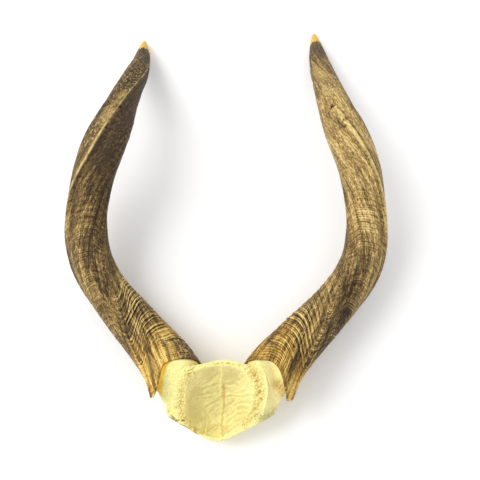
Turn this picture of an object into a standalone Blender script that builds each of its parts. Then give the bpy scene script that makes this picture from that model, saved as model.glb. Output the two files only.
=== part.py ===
"""Nyala skull cap: the sawn-off top of the skull with both horns, lying forehead down.

Metres, +Z up, +Y from the cap towards the horn tips. The origin is the small flat on the
forehead that the piece rests on. The left horn is on the -X side. Each horn is one tapering
sheath that turns about a curved axis, with a sharp front keel, a blunt rear keel and growth
ridges, parted into four lengths. The bone is one solid: the bowl of the brain case with the
two stubs that carry the sheaths.
"""

import bmesh
import bpy
import numpy as np
from mathutils import Vector

GAP = 0.00035

# Axis of each horn from inside the skull to the tip: across, along, up.
# The second point is level with the rim of the sheath.
HORN_AXES = {
    "left": (
        (-0.033, 0.000, 0.0545),
        (-0.049, 0.034, 0.0425),
        (-0.068, 0.058, 0.035),
        (-0.097, 0.090, 0.032),
        (-0.124, 0.122, 0.034),
        (-0.140, 0.153, 0.039),
        (-0.146, 0.190, 0.046),
        (-0.1445, 0.229, 0.056),
        (-0.135, 0.261, 0.065),
        (-0.122, 0.302, 0.064),
        (-0.1125, 0.349, 0.049),
        (-0.105, 0.406, 0.021),
        (-0.105, 0.449, 0.0055),
    ),
    "right": (
        (0.027, 0.000, 0.0545),
        (0.0445, 0.0335, 0.0425),
        (0.066, 0.058, 0.035),
        (0.098, 0.091, 0.032),
        (0.127, 0.124, 0.034),
        (0.1435, 0.158, 0.039),
        (0.148, 0.192, 0.046),
        (0.1465, 0.229, 0.056),
        (0.138, 0.262, 0.065),
        (0.125, 0.302, 0.064),
        (0.116, 0.350, 0.049),
        (0.112, 0.406, 0.021),
        (0.112, 0.4565, 0.0055),
    ),
}
RIM_POINT = 1
OUTWARD = {"left": -1.0, "right": 1.0}

# Horn sizes against the distance from the rim along a horn of HORN_LENGTH.
HORN_LENGTH = 0.478
HORN_RADIUS = (
    (-0.050, 0.0275),
    (0.000, 0.0262),
    (0.050, 0.0232),
    (0.100, 0.0217),
    (0.200, 0.0206),
    (0.300, 0.0206),
    (0.340, 0.0166),
    (0.375, 0.0147),
    (0.410, 0.0142),
    (0.440, 0.0130),
    (0.478, 0.0100),
)
TIP_ROUNDING = 0.030
# Turn of the rear keel about the axis, in degrees from straight up towards the inner side.
REAR_KEEL_TURN = (
    (-0.050, -82),
    (0.000, -68),
    (0.054, -36),
    (0.108, 9),
    (0.165, 45),
    (0.230, 96),
    (0.280, 141),
    (0.310, 158),
    (0.377, 196),
    (0.440, 240),
    (0.478, 268),
)
KEEL_LAG = {"left": 0.0, "right": 9.0}
KEEL_SPREAD = 140.0
FRONT_KEEL_HEIGHT = (
    (-0.050, 0.0015),
    (0.000, 0.0025),
    (0.100, 0.0040),
    (0.300, 0.0045),
    (0.380, 0.0032),
    (0.430, 0.0014),
    (0.478, 0.0000),
)
REAR_KEEL_HEIGHT = (
    (-0.050, 0.0070),
    (-0.020, 0.0062),
    (0.010, 0.0042),
    (0.080, 0.0032),
    (0.160, 0.0024),
    (0.260, 0.0014),
    (0.400, 0.0008),
    (0.478, 0.0000),
)
SHARP_FLANK = 12.0
BLUNT_FLANK = 20.0
CREST_ROUNDING = 0.2
OVAL_SHARE = 0.05
OVAL_TURN = -55.0

# Shape of the rim: how far it hangs back at each turn from the rear keel, where it ends
# in a spike. The growth ridges follow the same line, which straightens up the horn.
RIM_DROP = {
    "left": (
        (-180, 0.0045),
        (-140, -0.0020),
        (-100, -0.0035),
        (-60, -0.0010),
        (-32, 0.0010),
        (-20, 0.0050),
        (-10, 0.0122),
        (0, 0.0158),
        (5, 0.0178),
        (10, 0.0158),
        (16, 0.0122),
        (22, 0.0100),
        (32, 0.0060),
        (42, 0.0010),
        (50, -0.0022),
        (66, -0.0032),
        (84, -0.0012),
        (116, 0.0034),
        (148, 0.0060),
        (180, 0.0045),
    ),
    "right": (
        (-180, 0.0045),
        (-140, -0.0020),
        (-100, -0.0035),
        (-50, -0.0010),
        (-22, 0.0010),
        (-10, 0.0046),
        (0, 0.0130),
        (5, 0.0158),
        (10, 0.0168),
        (15, 0.0160),
        (20, 0.0145),
        (34, 0.0108),
        (44, 0.0068),
        (54, 0.0034),
        (68, 0.0000),
        (84, -0.0010),
        (116, 0.0034),
        (148, 0.0060),
        (180, 0.0045),
    ),
}
DROP_FADE = 0.070

# Growth ridges, strongest on the inner face near the rim.
RIDGE_PITCH = 0.009
RIDGE_HEIGHT = 0.0007
RIDGE_REACH = 0.150
RIDGE_TURN = 80.0

SHEATH_WALL = 0.0026
SOCKET_DEPTH = 0.014
SOCKET_TAPER = 0.0008
HORN_SIDES = 30
CUTS = {"base": 0.112, "bow": 0.240, "upper": 0.438}
ROW_STEPS = {"base": 0.0045, "bow": 0.009, "upper": 0.011, "tip": 0.006}

# Stub of bone from inside each socket down into the bowl's wall. It is narrower on the
# side of the rear keel, where the sheath's spike hangs free.
STUB_CLEARANCE = 0.0006
STUB_END = SOCKET_DEPTH - 0.0010
STUB_MOUTH = 0.0010
STUB_NECK = -0.0020
STUB_DROP = 0.0032
STUB_WAIST = 0.0056
STUB_WAIST_WIDTH = 45.0
STUB_SOCKET_ROWS = 4
STUB_ROWS = 7
STUB_ROOTS = {"left": (-0.0465, 0.015, 0.034), "right": (0.0408, 0.015, 0.034)}
STUB_ROOT_SCALE = 0.66

# The bowl, seen from above. Its centre, and points round its edge, anticlockwise.
BOWL_CENTRE = (-0.003, 0.005)
BOWL_OUTLINE = (
    (0.0530, 0.0070),
    (0.0540, 0.0160),
    (0.0450, 0.0310),
    (0.0320, 0.0380),
    (0.0180, 0.0415),
    (0.0070, 0.0442),
    (-0.0030, 0.0445),
    (-0.0130, 0.0430),
    (-0.0225, 0.0410),
    (-0.0390, 0.0370),
    (-0.0540, 0.0240),
    (-0.0590, 0.0110),
    (-0.0575, 0.0020),
    (-0.0572, -0.0045),
    (-0.0450, -0.0130),
    (-0.0350, -0.0187),
    (-0.0270, -0.0235),
    (-0.0150, -0.0287),
    (-0.0070, -0.0302),
    (-0.0010, -0.0292),
    (0.0100, -0.0243),
    (0.0200, -0.0192),
    (0.0300, -0.0150),
    (0.0390, -0.0103),
    (0.0490, -0.0040),
    (0.0515, 0.0000),
)
CAVITY_EDGE = (
    (0.0267, 0.0087),
    (0.0247, 0.0222),
    (0.0200, 0.0325),
    (0.0120, 0.0375),
    (-0.0046, 0.0393),
    (-0.0183, 0.0380),
    (-0.0280, 0.0340),
    (-0.0355, 0.0240),
    (-0.0380, 0.0100),
    (-0.0386, -0.0022),
    (-0.0360, -0.0132),
    (-0.0280, -0.0200),
    (-0.0150, -0.0255),
    (-0.0037, -0.0265),
    (0.0060, -0.0205),
    (0.0150, -0.0141),
    (0.0228, -0.0050),
)
CUT_EDGE = (
    (0.0407, 0.0078),
    (0.0417, 0.0168),
    (0.0405, 0.0275),
    (0.0350, 0.0345),
    (0.0180, 0.0405),
    (-0.0030, 0.0430),
    (-0.0225, 0.0400),
    (-0.0385, 0.0360),
    (-0.0530, 0.0235),
    (-0.0570, 0.0110),
    (-0.0560, 0.0000),
    (-0.0550, -0.0060),
    (-0.0400, -0.0155),
    (-0.0270, -0.0225),
    (-0.0070, -0.0290),
    (0.0100, -0.0232),
    (0.0300, -0.0138),
    (0.0369, -0.0077),
    (0.0389, -0.0018),
)
BOWL_SIDES = 48
# The saw cut is a plane that rises from the front point to the back.
CUT_LOW_POINT = (-0.029, 0.022)
CUT_SLOPE = 0.60
CUT_MARGIN = 0.0003
# On the right the bone falls away outside the cut, as the hollow of the temple.
FOSSA_START = 0.041
FOSSA_SLOPE = 0.40
FOSSA_DEPTH = 0.0040
CAVITY_DEPTH = 0.025
CAVITY_FLOOR_MARGIN = 0.0010
# Share of the way out to the cavity edge, and share of the depth there.
CAVITY_STEPS = ((1.00, 0.0), (0.94, 0.22), (0.82, 0.50), (0.64, 0.76), (0.42, 0.92), (0.20, 0.99))
MIDLINE = -0.004
MIDLINE_RIDGE = 0.0012
MIDLINE_WIDTH = 0.003
EDGE_MARGIN = 0.0010
SIDE_FALL = 0.009
SIDE_STEEPNESS = 4.0
# Forehead: its rise to the sides and to the front and back, and the flat it rests on.
FOREHEAD_RISE_ACROSS = 8.2
FOREHEAD_RISE_ALONG = 18.5
FOREHEAD_FLAT = 0.0010
FOREHEAD_STEPS = (0.97, 0.86, 0.70, 0.52, 0.34, 0.17)
EDGE_SHARE = 0.35

BONE = ("bone", (0.80, 0.72, 0.45), 0.55)
HORN = ("horn", (0.22, 0.15, 0.07), 0.45)
HORN_TIP = ("horn_tip", (0.78, 0.56, 0.24), 0.35)
# Edges that turn by more than this, in degrees, stay sharp.
SHARP_ANGLE = 35.0


def clear_scene():
    for old in list(bpy.data.objects):
        bpy.data.objects.remove(old, do_unlink=True)


def make_material(finish):
    name, colour, roughness = finish
    material = bpy.data.materials.new(name)
    material.use_nodes = True
    shader = material.node_tree.nodes["Principled BSDF"]
    shader.inputs["Base Color"].default_value = (*colour, 1.0)
    shader.inputs["Roughness"].default_value = roughness
    shader.inputs["Metallic"].default_value = 0.0
    return material


def read_table(rows, where):
    """Smooth value of a table of (place, value) rows at each place of an array."""
    places = np.array([row[0] for row in rows])
    values = np.array([row[1] for row in rows], dtype=float)
    slopes = np.gradient(values, places)
    where = np.clip(where, places[0], places[-1])
    k = np.clip(np.searchsorted(places, where) - 1, 0, len(places) - 2)
    span = places[k + 1] - places[k]
    t = (where - places[k]) / span
    return (
        (2 * t**3 - 3 * t**2 + 1) * values[k]
        + (t**3 - 2 * t**2 + t) * span * slopes[k]
        + (3 * t**2 - 2 * t**3) * values[k + 1]
        + (t**3 - t**2) * span * slopes[k + 1]
    )


def turn_between(degrees):
    """The same turn between -180 and 180 degrees."""
    return (degrees + 180.0) % 360.0 - 180.0


class Axis:
    """Natural cubic curve through a horn's axis points, measured in metres from the rim."""

    SAMPLES = 1200
    STEP = 0.0005

    def __init__(self, points):
        self.points = np.array(points)
        chords = np.linalg.norm(np.diff(self.points, axis=0), axis=1)
        self.knots = np.concatenate(([0.0], np.cumsum(chords)))
        self.bends = self.solve_bends(chords)
        self.places = np.linspace(0.0, self.knots[-1], self.SAMPLES)
        steps = np.linalg.norm(np.diff(self.curve(self.places), axis=0), axis=1)
        run = np.concatenate(([0.0], np.cumsum(steps)))
        self.run = run - np.interp(self.knots[RIM_POINT], self.places, run)
        self.length = self.run[-1]

    def solve_bends(self, chords):
        count = len(self.points)
        matrix = np.eye(count)
        right = np.zeros((count, 3))
        for k in range(1, count - 1):
            before = chords[k - 1]
            after = chords[k]
            matrix[k, k - 1 : k + 2] = (before, 2 * (before + after), after)
            rise = (self.points[k + 1] - self.points[k]) / after
            fall = (self.points[k] - self.points[k - 1]) / before
            right[k] = 6 * (rise - fall)
        return np.linalg.solve(matrix, right)

    def curve(self, places):
        k = np.clip(np.searchsorted(self.knots, places) - 1, 0, len(self.knots) - 2)
        span = (self.knots[k + 1] - self.knots[k])[:, None]
        a = (self.knots[k + 1] - places)[:, None] / span
        b = 1.0 - a
        bend = (a**3 - a) * self.bends[k] + (b**3 - b) * self.bends[k + 1]
        return a * self.points[k] + b * self.points[k + 1] + bend * span**2 / 6

    def at(self, distance):
        """Centre and direction at each distance from the rim."""
        low = np.clip(distance - self.STEP, self.run[0], self.length - 2 * self.STEP)
        high = low + 2 * self.STEP
        centre = self.curve(np.interp(distance, self.run, self.places))
        start = self.curve(np.interp(low, self.run, self.places))
        end = self.curve(np.interp(high, self.run, self.places))
        direction = end - start
        return centre, direction / np.linalg.norm(direction, axis=1)[:, None]


def rim_drop(side, turn):
    """How far a ring of growth hangs back, by its turn from the rear keel."""
    return read_table(RIM_DROP[side], turn_between(turn))


def keel_crest(away):
    """Height share of a keel, sharp on its inner flank and blunter on the other."""
    flank = np.where(away > 0, SHARP_FLANK, BLUNT_FLANK)
    return np.exp(CREST_ROUNDING - np.hypot(away / flank, CREST_ROUNDING))


def horn_radius(axis, distance, turn):
    """Distance of the sheath's surface from its axis."""
    place = distance / axis.length * HORN_LENGTH
    left = np.maximum(axis.length - distance, 0.0)
    body = read_table(HORN_RADIUS, place) * np.sqrt(1.0 - np.exp(-left / TIP_ROUNDING))
    oval = 1.0 + OVAL_SHARE * np.cos(2.0 * np.radians(turn - OVAL_TURN))
    front = read_table(FRONT_KEEL_HEIGHT, place) * keel_crest(turn_between(turn + KEEL_SPREAD))
    rear = read_table(REAR_KEEL_HEIGHT, place) * keel_crest(turn_between(turn))
    return body * oval + front + rear


def growth_ridge(grown, turn):
    """Ripple of the growth ridges on the inner face."""
    inner = 0.5 + 0.5 * np.cos(np.radians(turn - RIDGE_TURN))
    fade = np.exp(-((grown / RIDGE_REACH) ** 2))
    return RIDGE_HEIGHT * np.cos(2.0 * np.pi * grown / RIDGE_PITCH) * inner * fade


def place_on_axis(axis, side, distance, turn, radius):
    """Points at a turn and radius about the axis, in an array of rows by sides."""
    flat = distance.ravel()
    centre, direction = axis.at(flat)
    up = np.array([0.0, 0.0, 1.0]) - direction[:, 2:3] * direction
    up /= np.linalg.norm(up, axis=1)[:, None]
    inner = np.cross(direction, up) * -OUTWARD[side]
    lag = KEEL_LAG[side] * np.exp(-np.maximum(flat, 0.0) / DROP_FADE)
    rear = read_table(REAR_KEEL_TURN, flat / axis.length * HORN_LENGTH) - lag
    angle = np.radians(rear + turn.ravel())[:, None]
    offset = radius.ravel()[:, None] * (np.cos(angle) * up + np.sin(angle) * inner)
    points = centre + offset
    points[:, 2] = np.maximum(points[:, 2], 0.0)
    return points.reshape(distance.shape + (3,))


def turns(count):
    return np.arange(count) * 360.0 / count


def horn_rows(axis, side, grown_rows, inset=0.0, ridged=True):
    """Rings of the sheath at each grown distance, set in by a wall if asked."""
    grown, turn = np.meshgrid(grown_rows, turns(HORN_SIDES), indexing="ij")
    distance = grown - rim_drop(side, turn) * np.exp(-np.maximum(grown, 0.0) / DROP_FADE)
    distance = np.minimum(distance, axis.length)
    radius = horn_radius(axis, distance, turn)
    if ridged:
        radius = radius + growth_ridge(grown, turn)
    return place_on_axis(axis, side, distance, turn, radius - inset)


def close_rows(rows, start, end, flipped):
    """One closed mesh from rings of equal count, with a point at each end."""
    mesh = bmesh.new()
    rings = []
    for row in rows:
        rings.append([mesh.verts.new(Vector(point)) for point in row])
    first = mesh.verts.new(Vector(start))
    last = mesh.verts.new(Vector(end))
    count = len(rings[0])
    for side in range(count):
        after = (side + 1) % count
        mesh.faces.new((first, rings[0][after], rings[0][side]))
        mesh.faces.new((last, rings[-1][side], rings[-1][after]))
        for lower, upper in zip(rings[:-1], rings[1:]):
            mesh.faces.new((lower[side], lower[after], upper[after]))
            mesh.faces.new((lower[side], upper[after], upper[side]))
    if flipped:
        bmesh.ops.reverse_faces(mesh, faces=mesh.faces[:])
    return mesh


def add_object(name, mesh, material):
    data = bpy.data.meshes.new(name)
    mesh.to_mesh(data)
    mesh.free()
    data.shade_smooth()
    data.set_sharp_from_angle(angle=np.radians(SHARP_ANGLE))
    if material:
        data.materials.append(material)
    placed = bpy.data.objects.new(name, data)
    bpy.context.scene.collection.objects.link(placed)
    return placed


def row_places(start, end, step):
    return np.linspace(start, end, max(2, int(round((end - start) / step)) + 1))


def end_point(axis, grown, side):
    """Middle of the ring that a horn is cut at."""
    return horn_rows(axis, side, np.array([grown]), ridged=False)[0].mean(axis=0)


def make_horn(side, horn, horn_tip):
    """The four lengths of one horn."""
    axis = Axis(HORN_AXES[side])
    flipped = side == "right"

    # The base is a sheath with a shallow socket for the stub of bone.
    floor_row = horn_rows(axis, side, np.array([SOCKET_DEPTH]), SHEATH_WALL + SOCKET_TAPER, False)
    mouth_row = horn_rows(axis, side, np.array([0.0]), SHEATH_WALL, False)
    outer = horn_rows(axis, side, row_places(0.0, CUTS["base"], ROW_STEPS["base"]))
    base_rows = np.concatenate((floor_row, mouth_row, outer))
    floor_middle = floor_row[0].mean(axis=0)
    base_end = end_point(axis, CUTS["base"], side)
    base = close_rows(base_rows, floor_middle, base_end, flipped)
    add_object(f"horn_{side}_base", base, horn)

    starts = {"bow": CUTS["base"] + GAP, "upper": CUTS["bow"] + GAP}
    for part, start in starts.items():
        rows = horn_rows(axis, side, row_places(start, CUTS[part], ROW_STEPS[part]))
        ends = (end_point(axis, start, side), end_point(axis, CUTS[part], side))
        add_object(f"horn_{side}_{part}", close_rows(rows, *ends, flipped), horn)

    # The tip's last rings crowd towards its rounded end.
    start = CUTS["upper"] + GAP
    count = int((axis.length - start) / ROW_STEPS["tip"])
    share = np.sin(np.linspace(0.0, 0.5 * np.pi, count + 1))[:-1]
    rows = horn_rows(axis, side, start + (axis.length - start) * share)
    point, _ = axis.at(np.array([axis.length]))
    tip = close_rows(rows, end_point(axis, start, side), point[0], flipped)
    add_object(f"horn_{side}_tip", tip, horn_tip)


def trim_to_bowl(points):
    """Bone above the saw cut or in the cavity is gone, and at the temple it falls away."""
    x = points[..., 0]
    y = points[..., 1]
    fall = np.clip(FOSSA_SLOPE * (x - FOSSA_START), 0.0, FOSSA_DEPTH)
    out = np.hypot(x - BOWL_CENTRE[0], y - BOWL_CENTRE[1])
    angles = np.arctan2(y - BOWL_CENTRE[1], x - BOWL_CENTRE[0])
    share = out / edge_radius(CAVITY_EDGE, angles)
    steps = CAVITY_STEPS[::-1]
    depth = np.interp(share, [step[0] for step in steps], [step[1] for step in steps])
    hollow = depth * CAVITY_DEPTH + CAVITY_FLOOR_MARGIN * (share < 1.0)
    points[..., 2] = np.minimum(points[..., 2], cut_height(y) - CUT_MARGIN - fall - hollow)
    return points


def make_stub(side):
    """The bone that enters one sheath, from inside the socket down into the bowl's wall."""
    axis = Axis(HORN_AXES[side])
    inset = SHEATH_WALL + SOCKET_TAPER + STUB_CLEARANCE
    turn = turns(HORN_SIDES)
    drop = rim_drop(side, turn)
    end = STUB_END - drop * np.exp(-STUB_END / DROP_FADE)
    mouth = STUB_MOUTH - np.minimum(drop, STUB_DROP)
    share = np.linspace(0.0, 1.0, STUB_SOCKET_ROWS)[:, None]
    distance = end + (mouth - end) * share
    spread_turn = np.broadcast_to(turn, distance.shape)
    radius = horn_radius(axis, distance, spread_turn) - inset
    inside = place_on_axis(axis, side, distance, spread_turn, radius)

    neck = mouth + STUB_NECK - STUB_MOUTH
    near_keel = np.exp(-((turn_between(turn) / STUB_WAIST_WIDTH) ** 2))
    radius = horn_radius(axis, neck, turn) - inset - STUB_WAIST * near_keel
    top = place_on_axis(axis, side, neck, turn, radius)
    root = np.array(STUB_ROOTS[side]) + STUB_ROOT_SCALE * (top - top.mean(axis=0))
    share = np.linspace(0.0, 1.0, STUB_ROWS)[:, None, None]
    outside = trim_to_bowl(top + (root - top) * share)

    rows = np.concatenate((inside, outside))[::-1]
    middle = (rows[0].mean(axis=0), rows[-1].mean(axis=0))
    return add_object(f"stub_{side}", close_rows(rows, *middle, side == "right"), None)


def edge_radius(points, angles):
    """Distance from the bowl's centre to an edge, smooth and closed, at each angle."""
    offsets = np.array(points) - np.array(BOWL_CENTRE)
    at = np.arctan2(offsets[:, 1], offsets[:, 0])
    size = np.hypot(offsets[:, 0], offsets[:, 1])
    order = np.argsort(at)
    at = at[order]
    size = size[order]
    rows = list(zip(at - 2 * np.pi, size)) + list(zip(at, size)) + list(zip(at + 2 * np.pi, size))
    return read_table(rows, angles)


def cut_height(y):
    return CUT_LOW_POINT[1] + CUT_SLOPE * (y - CUT_LOW_POINT[0])


def forehead_height(x, y):
    rise = FOREHEAD_RISE_ACROSS * x**2 + FOREHEAD_RISE_ALONG * y**2
    return np.maximum(rise - FOREHEAD_FLAT, 0.0)


def bowl_ring(radius, angles):
    x = BOWL_CENTRE[0] + radius * np.cos(angles)
    y = BOWL_CENTRE[1] + radius * np.sin(angles)
    return x, y


def make_bowl():
    """The bowl of bone, ring by ring from the cavity's floor over the cut to the forehead."""
    angles = -np.pi + (np.arange(BOWL_SIDES) + 0.5) * 2.0 * np.pi / BOWL_SIDES
    outline = edge_radius(BOWL_OUTLINE, angles)
    cut_edge = np.minimum(edge_radius(CUT_EDGE, angles), outline - EDGE_MARGIN)
    cavity = np.minimum(edge_radius(CAVITY_EDGE, angles), cut_edge - EDGE_MARGIN)

    rows = []
    for share, depth in reversed(CAVITY_STEPS):
        x, y = bowl_ring(cavity * share, angles)
        ridge = MIDLINE_RIDGE * np.exp(-(((x - MIDLINE) / MIDLINE_WIDTH) ** 2)) * (depth > 0)
        rows.append(np.stack((x, y, cut_height(y) - CAVITY_DEPTH * depth + ridge), axis=1))
    x, y = bowl_ring(cut_edge, angles)
    rows.append(np.stack((x, y, cut_height(y)), axis=1))

    # Beyond the saw cut the outer face of the bone falls away to the sides.
    edge_x, edge_y = bowl_ring(outline, angles)
    width = (outline - cut_edge - EDGE_MARGIN) / (outline.max() - cut_edge.min())
    fall = EDGE_MARGIN + SIDE_STEEPNESS * SIDE_FALL * np.maximum(width, 0.0)
    fall = np.minimum(SIDE_FALL, fall)
    edge_z = cut_height(edge_y) - fall
    rows.append(np.stack((edge_x, edge_y, edge_z), axis=1))

    for share in FOREHEAD_STEPS:
        x = edge_x * share
        y = edge_y * share
        z = forehead_height(x, y)
        if share == FOREHEAD_STEPS[0]:
            z = z + EDGE_SHARE * (edge_z - z)
        rows.append(np.stack((x, y, z), axis=1))

    centre_y = BOWL_CENTRE[1]
    floor = (BOWL_CENTRE[0], centre_y, cut_height(centre_y) - CAVITY_DEPTH + MIDLINE_RIDGE)
    return add_object("bowl", close_rows(rows, floor, (0.0, 0.0, 0.0), True), None)


def keep_largest(mesh):
    """Drop all but the largest closed surface of a mesh."""
    pieces = []
    unseen = set(mesh.faces)
    while unseen:
        stack = [unseen.pop()]
        piece = []
        while stack:
            face = stack.pop()
            piece.append(face)
            for edge in face.edges:
                for other in edge.link_faces:
                    if other in unseen:
                        unseen.remove(other)
                        stack.append(other)
        pieces.append(piece)
    pieces.sort(key=len)
    for piece in pieces[:-1]:
        bmesh.ops.delete(mesh, geom=piece, context="FACES")


def make_skull_cap(material):
    """The bowl and both stubs as one solid."""
    bowl = make_bowl()
    stubs = bpy.data.collections.new("stubs")
    bpy.context.scene.collection.children.link(stubs)
    for side in HORN_AXES:
        stub = make_stub(side)
        bpy.context.scene.collection.objects.unlink(stub)
        stubs.objects.link(stub)
    union = bowl.modifiers.new("stubs", "BOOLEAN")
    union.operation = "UNION"
    union.operand_type = "COLLECTION"
    union.collection = stubs
    union.solver = "EXACT"
    bpy.context.view_layer.update()
    joined = bowl.evaluated_get(bpy.context.evaluated_depsgraph_get())
    mesh = bmesh.new()
    mesh.from_mesh(joined.to_mesh())
    keep_largest(mesh)
    bmesh.ops.triangulate(mesh, faces=mesh.faces[:])
    for old in list(stubs.objects):
        bpy.data.objects.remove(old, do_unlink=True)
    bpy.data.collections.remove(stubs)
    bpy.data.objects.remove(bowl, do_unlink=True)
    add_object("skull_cap", mesh, material)


def main():
    clear_scene()
    bone = make_material(BONE)
    horn = make_material(HORN)
    horn_tip = make_material(HORN_TIP)
    make_skull_cap(bone)
    for side in HORN_AXES:
        make_horn(side, horn, horn_tip)


main()
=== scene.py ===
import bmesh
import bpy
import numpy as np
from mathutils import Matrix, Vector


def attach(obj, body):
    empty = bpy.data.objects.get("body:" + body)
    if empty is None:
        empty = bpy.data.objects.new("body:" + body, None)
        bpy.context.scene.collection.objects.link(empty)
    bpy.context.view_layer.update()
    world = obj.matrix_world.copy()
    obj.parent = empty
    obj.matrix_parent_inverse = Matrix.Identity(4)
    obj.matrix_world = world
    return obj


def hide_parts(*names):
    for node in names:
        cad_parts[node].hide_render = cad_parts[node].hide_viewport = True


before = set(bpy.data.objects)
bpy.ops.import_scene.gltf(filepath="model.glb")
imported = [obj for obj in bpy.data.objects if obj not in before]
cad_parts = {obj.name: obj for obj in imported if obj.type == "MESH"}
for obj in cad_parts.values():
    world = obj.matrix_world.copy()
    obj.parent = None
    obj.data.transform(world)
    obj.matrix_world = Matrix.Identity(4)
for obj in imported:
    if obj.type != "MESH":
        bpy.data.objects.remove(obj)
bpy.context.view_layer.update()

# Looks of the nyala skull cap: two horns and the bowl of bone, as closed meshes built from
# the sizes of the CAD solids, with growth rings, fibres, worn keels, pores and stains.
# Metres, +Z up, +Y from the cap towards the horn tips, the left horn on the -X side.

MM = 0.001

# Axis of each horn from inside the skull to the tip: across, along, up.
# The second point is level with the rim of the sheath.
HORN_AXES = {
    "left": (
        (-0.033, 0.0, 0.0545), (-0.049, 0.034, 0.0425), (-0.068, 0.058, 0.035),
        (-0.097, 0.09, 0.032), (-0.124, 0.122, 0.034), (-0.14, 0.153, 0.039),
        (-0.146, 0.19, 0.046), (-0.1445, 0.229, 0.056), (-0.135, 0.261, 0.065),
        (-0.122, 0.302, 0.064), (-0.1125, 0.349, 0.049), (-0.105, 0.406, 0.02),
        (-0.105, 0.449, 0.0048),
    ),
    "right": (
        (0.027, 0.0, 0.0545), (0.0445, 0.0335, 0.0425), (0.066, 0.058, 0.035),
        (0.098, 0.091, 0.032), (0.127, 0.124, 0.034), (0.1435, 0.158, 0.039),
        (0.148, 0.192, 0.046), (0.1465, 0.229, 0.056), (0.138, 0.262, 0.065),
        (0.125, 0.302, 0.064), (0.116, 0.35, 0.049), (0.1112, 0.406, 0.02), (0.1085, 0.46, 0.0048),
    ),
}
RIM_POINT = 1
OUTWARD = {"left": -1.0, "right": 1.0}

# Horn sizes against the distance from the rim along a horn of HORN_LENGTH.
HORN_LENGTH = 0.478
HORN_RADIUS = (
    (-0.05, 0.0275), (0.0, 0.0262), (0.05, 0.0232), (0.1, 0.0217), (0.2, 0.0206), (0.3, 0.0206),
    (0.34, 0.0166), (0.375, 0.0147), (0.41, 0.0138), (0.44, 0.0118), (0.478, 0.008),
)
TIP_ROUNDING = 0.03
# Turn of the rear keel about the axis, in degrees from straight up towards the inner side.
REAR_KEEL_TURN = (
    (-0.05, -82), (0.0, -68), (0.054, -36), (0.108, 9), (0.165, 45), (0.23, 96), (0.28, 141),
    (0.31, 158), (0.377, 196), (0.44, 240), (0.478, 268),
)
KEEL_LAG = {"left": 0.0, "right": 9.0}
KEEL_SPREAD = 140.0
# Turn of the front keel's crest from the rear keel, by place along the horn.
FRONT_KEEL_TURN = {
    "left": (
        (-0.05, -140), (0.2, -130), (0.24, -130), (0.256, -132), (0.282, -142), (0.302, -147),
        (0.345, -150), (0.39, -152), (0.425, -160), (0.478, -165),
    ),
    "right": (
        (-0.05, -140), (0.2, -126), (0.243, -131), (0.268, -138), (0.29, -142), (0.324, -140),
        (0.38, -148), (0.425, -158), (0.478, -165),
    ),
}
KEEL_SWAY_WIDTH = 45.0
FRONT_KEEL_HEIGHT = (
    (-0.05, 0.0015), (0.0, 0.0025), (0.1, 0.004), (0.3, 0.0045), (0.38, 0.0032), (0.43, 0.0014),
    (0.478, 0.0),
)
REAR_KEEL_HEIGHT = (
    (-0.05, 0.007), (-0.02, 0.0062), (0.01, 0.0042), (0.08, 0.0032), (0.16, 0.0024),
    (0.26, 0.0014), (0.4, 0.0008), (0.478, 0.0),
)
SHARP_FLANK = 11.0
BLUNT_FLANK = 20.0
CREST_ROUNDING = 0.12
OVAL_SHARE = 0.05
OVAL_TURN = -55.0

# Shape of the rim: how far it hangs back at each turn from the rear keel, where it ends
# in a spike. Rings near the rim follow it, and further up they follow RING_DROP.
RIM_DROP = {
    "left": (
        (-180, 0.0045), (-140, -0.002), (-100, -0.0035), (-60, -0.001), (-32, 0.001), (-20, 0.005),
        (-10, 0.0122), (0, 0.0158), (5, 0.0178), (10, 0.0158), (16, 0.0122), (22, 0.01),
        (32, 0.006), (42, 0.001), (50, -0.0022), (66, -0.0032), (84, -0.0012), (116, 0.0034),
        (148, 0.006), (180, 0.0045),
    ),
    "right": (
        (-180, 0.0045), (-140, -0.002), (-100, -0.0035), (-50, -0.001), (-22, 0.001),
        (-10, 0.0046), (0, 0.013), (5, 0.018), (10, 0.0202), (15, 0.0178), (20, 0.0145),
        (34, 0.0108), (44, 0.0068), (54, 0.0034), (68, 0.0), (84, -0.001), (116, 0.0034),
        (148, 0.006), (180, 0.0045),
    ),
}
DROP_FADE = 0.07
RING_DROP = (
    (-180, -0.003), (-140, 0.008), (-100, 0.0), (-60, -0.006), (-25, -0.001), (0, 0.014),
    (45, 0.002), (110, -0.005), (180, -0.003),
)
BOW_DROP = (
    (-180, 0.0), (-150, 0.01), (-120, 0.005), (-90, -0.001), (-60, -0.004), (-30, -0.003),
    (0, 0.006), (30, 0.003), (60, -0.001), (110, -0.004), (180, 0.0),
)
BOW_START = (0.105, 0.165)

SHEATH_WALL = 0.0026
RIM_WALL = 0.0012
SOCKET_DEPTH = 0.014
SOCKET_TAPER = 0.0008
SOCKET_ROWS = 10
# Share of the socket's depth, and thickness of the sheath's wall there.
WALL_STEPS = ((0.0, 0.3, 1.0), (RIM_WALL, SHEATH_WALL, SHEATH_WALL + SOCKET_TAPER))

# Mesh of the horns: rows along it in three stretches, and points round it.
HORN_SIDES = 144
RINGED_REACH = 0.24
RINGED_STEP = 0.0006
PLAIN_REACH = 0.43
PLAIN_STEP = 0.001
TIP_ROWS = 60

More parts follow.
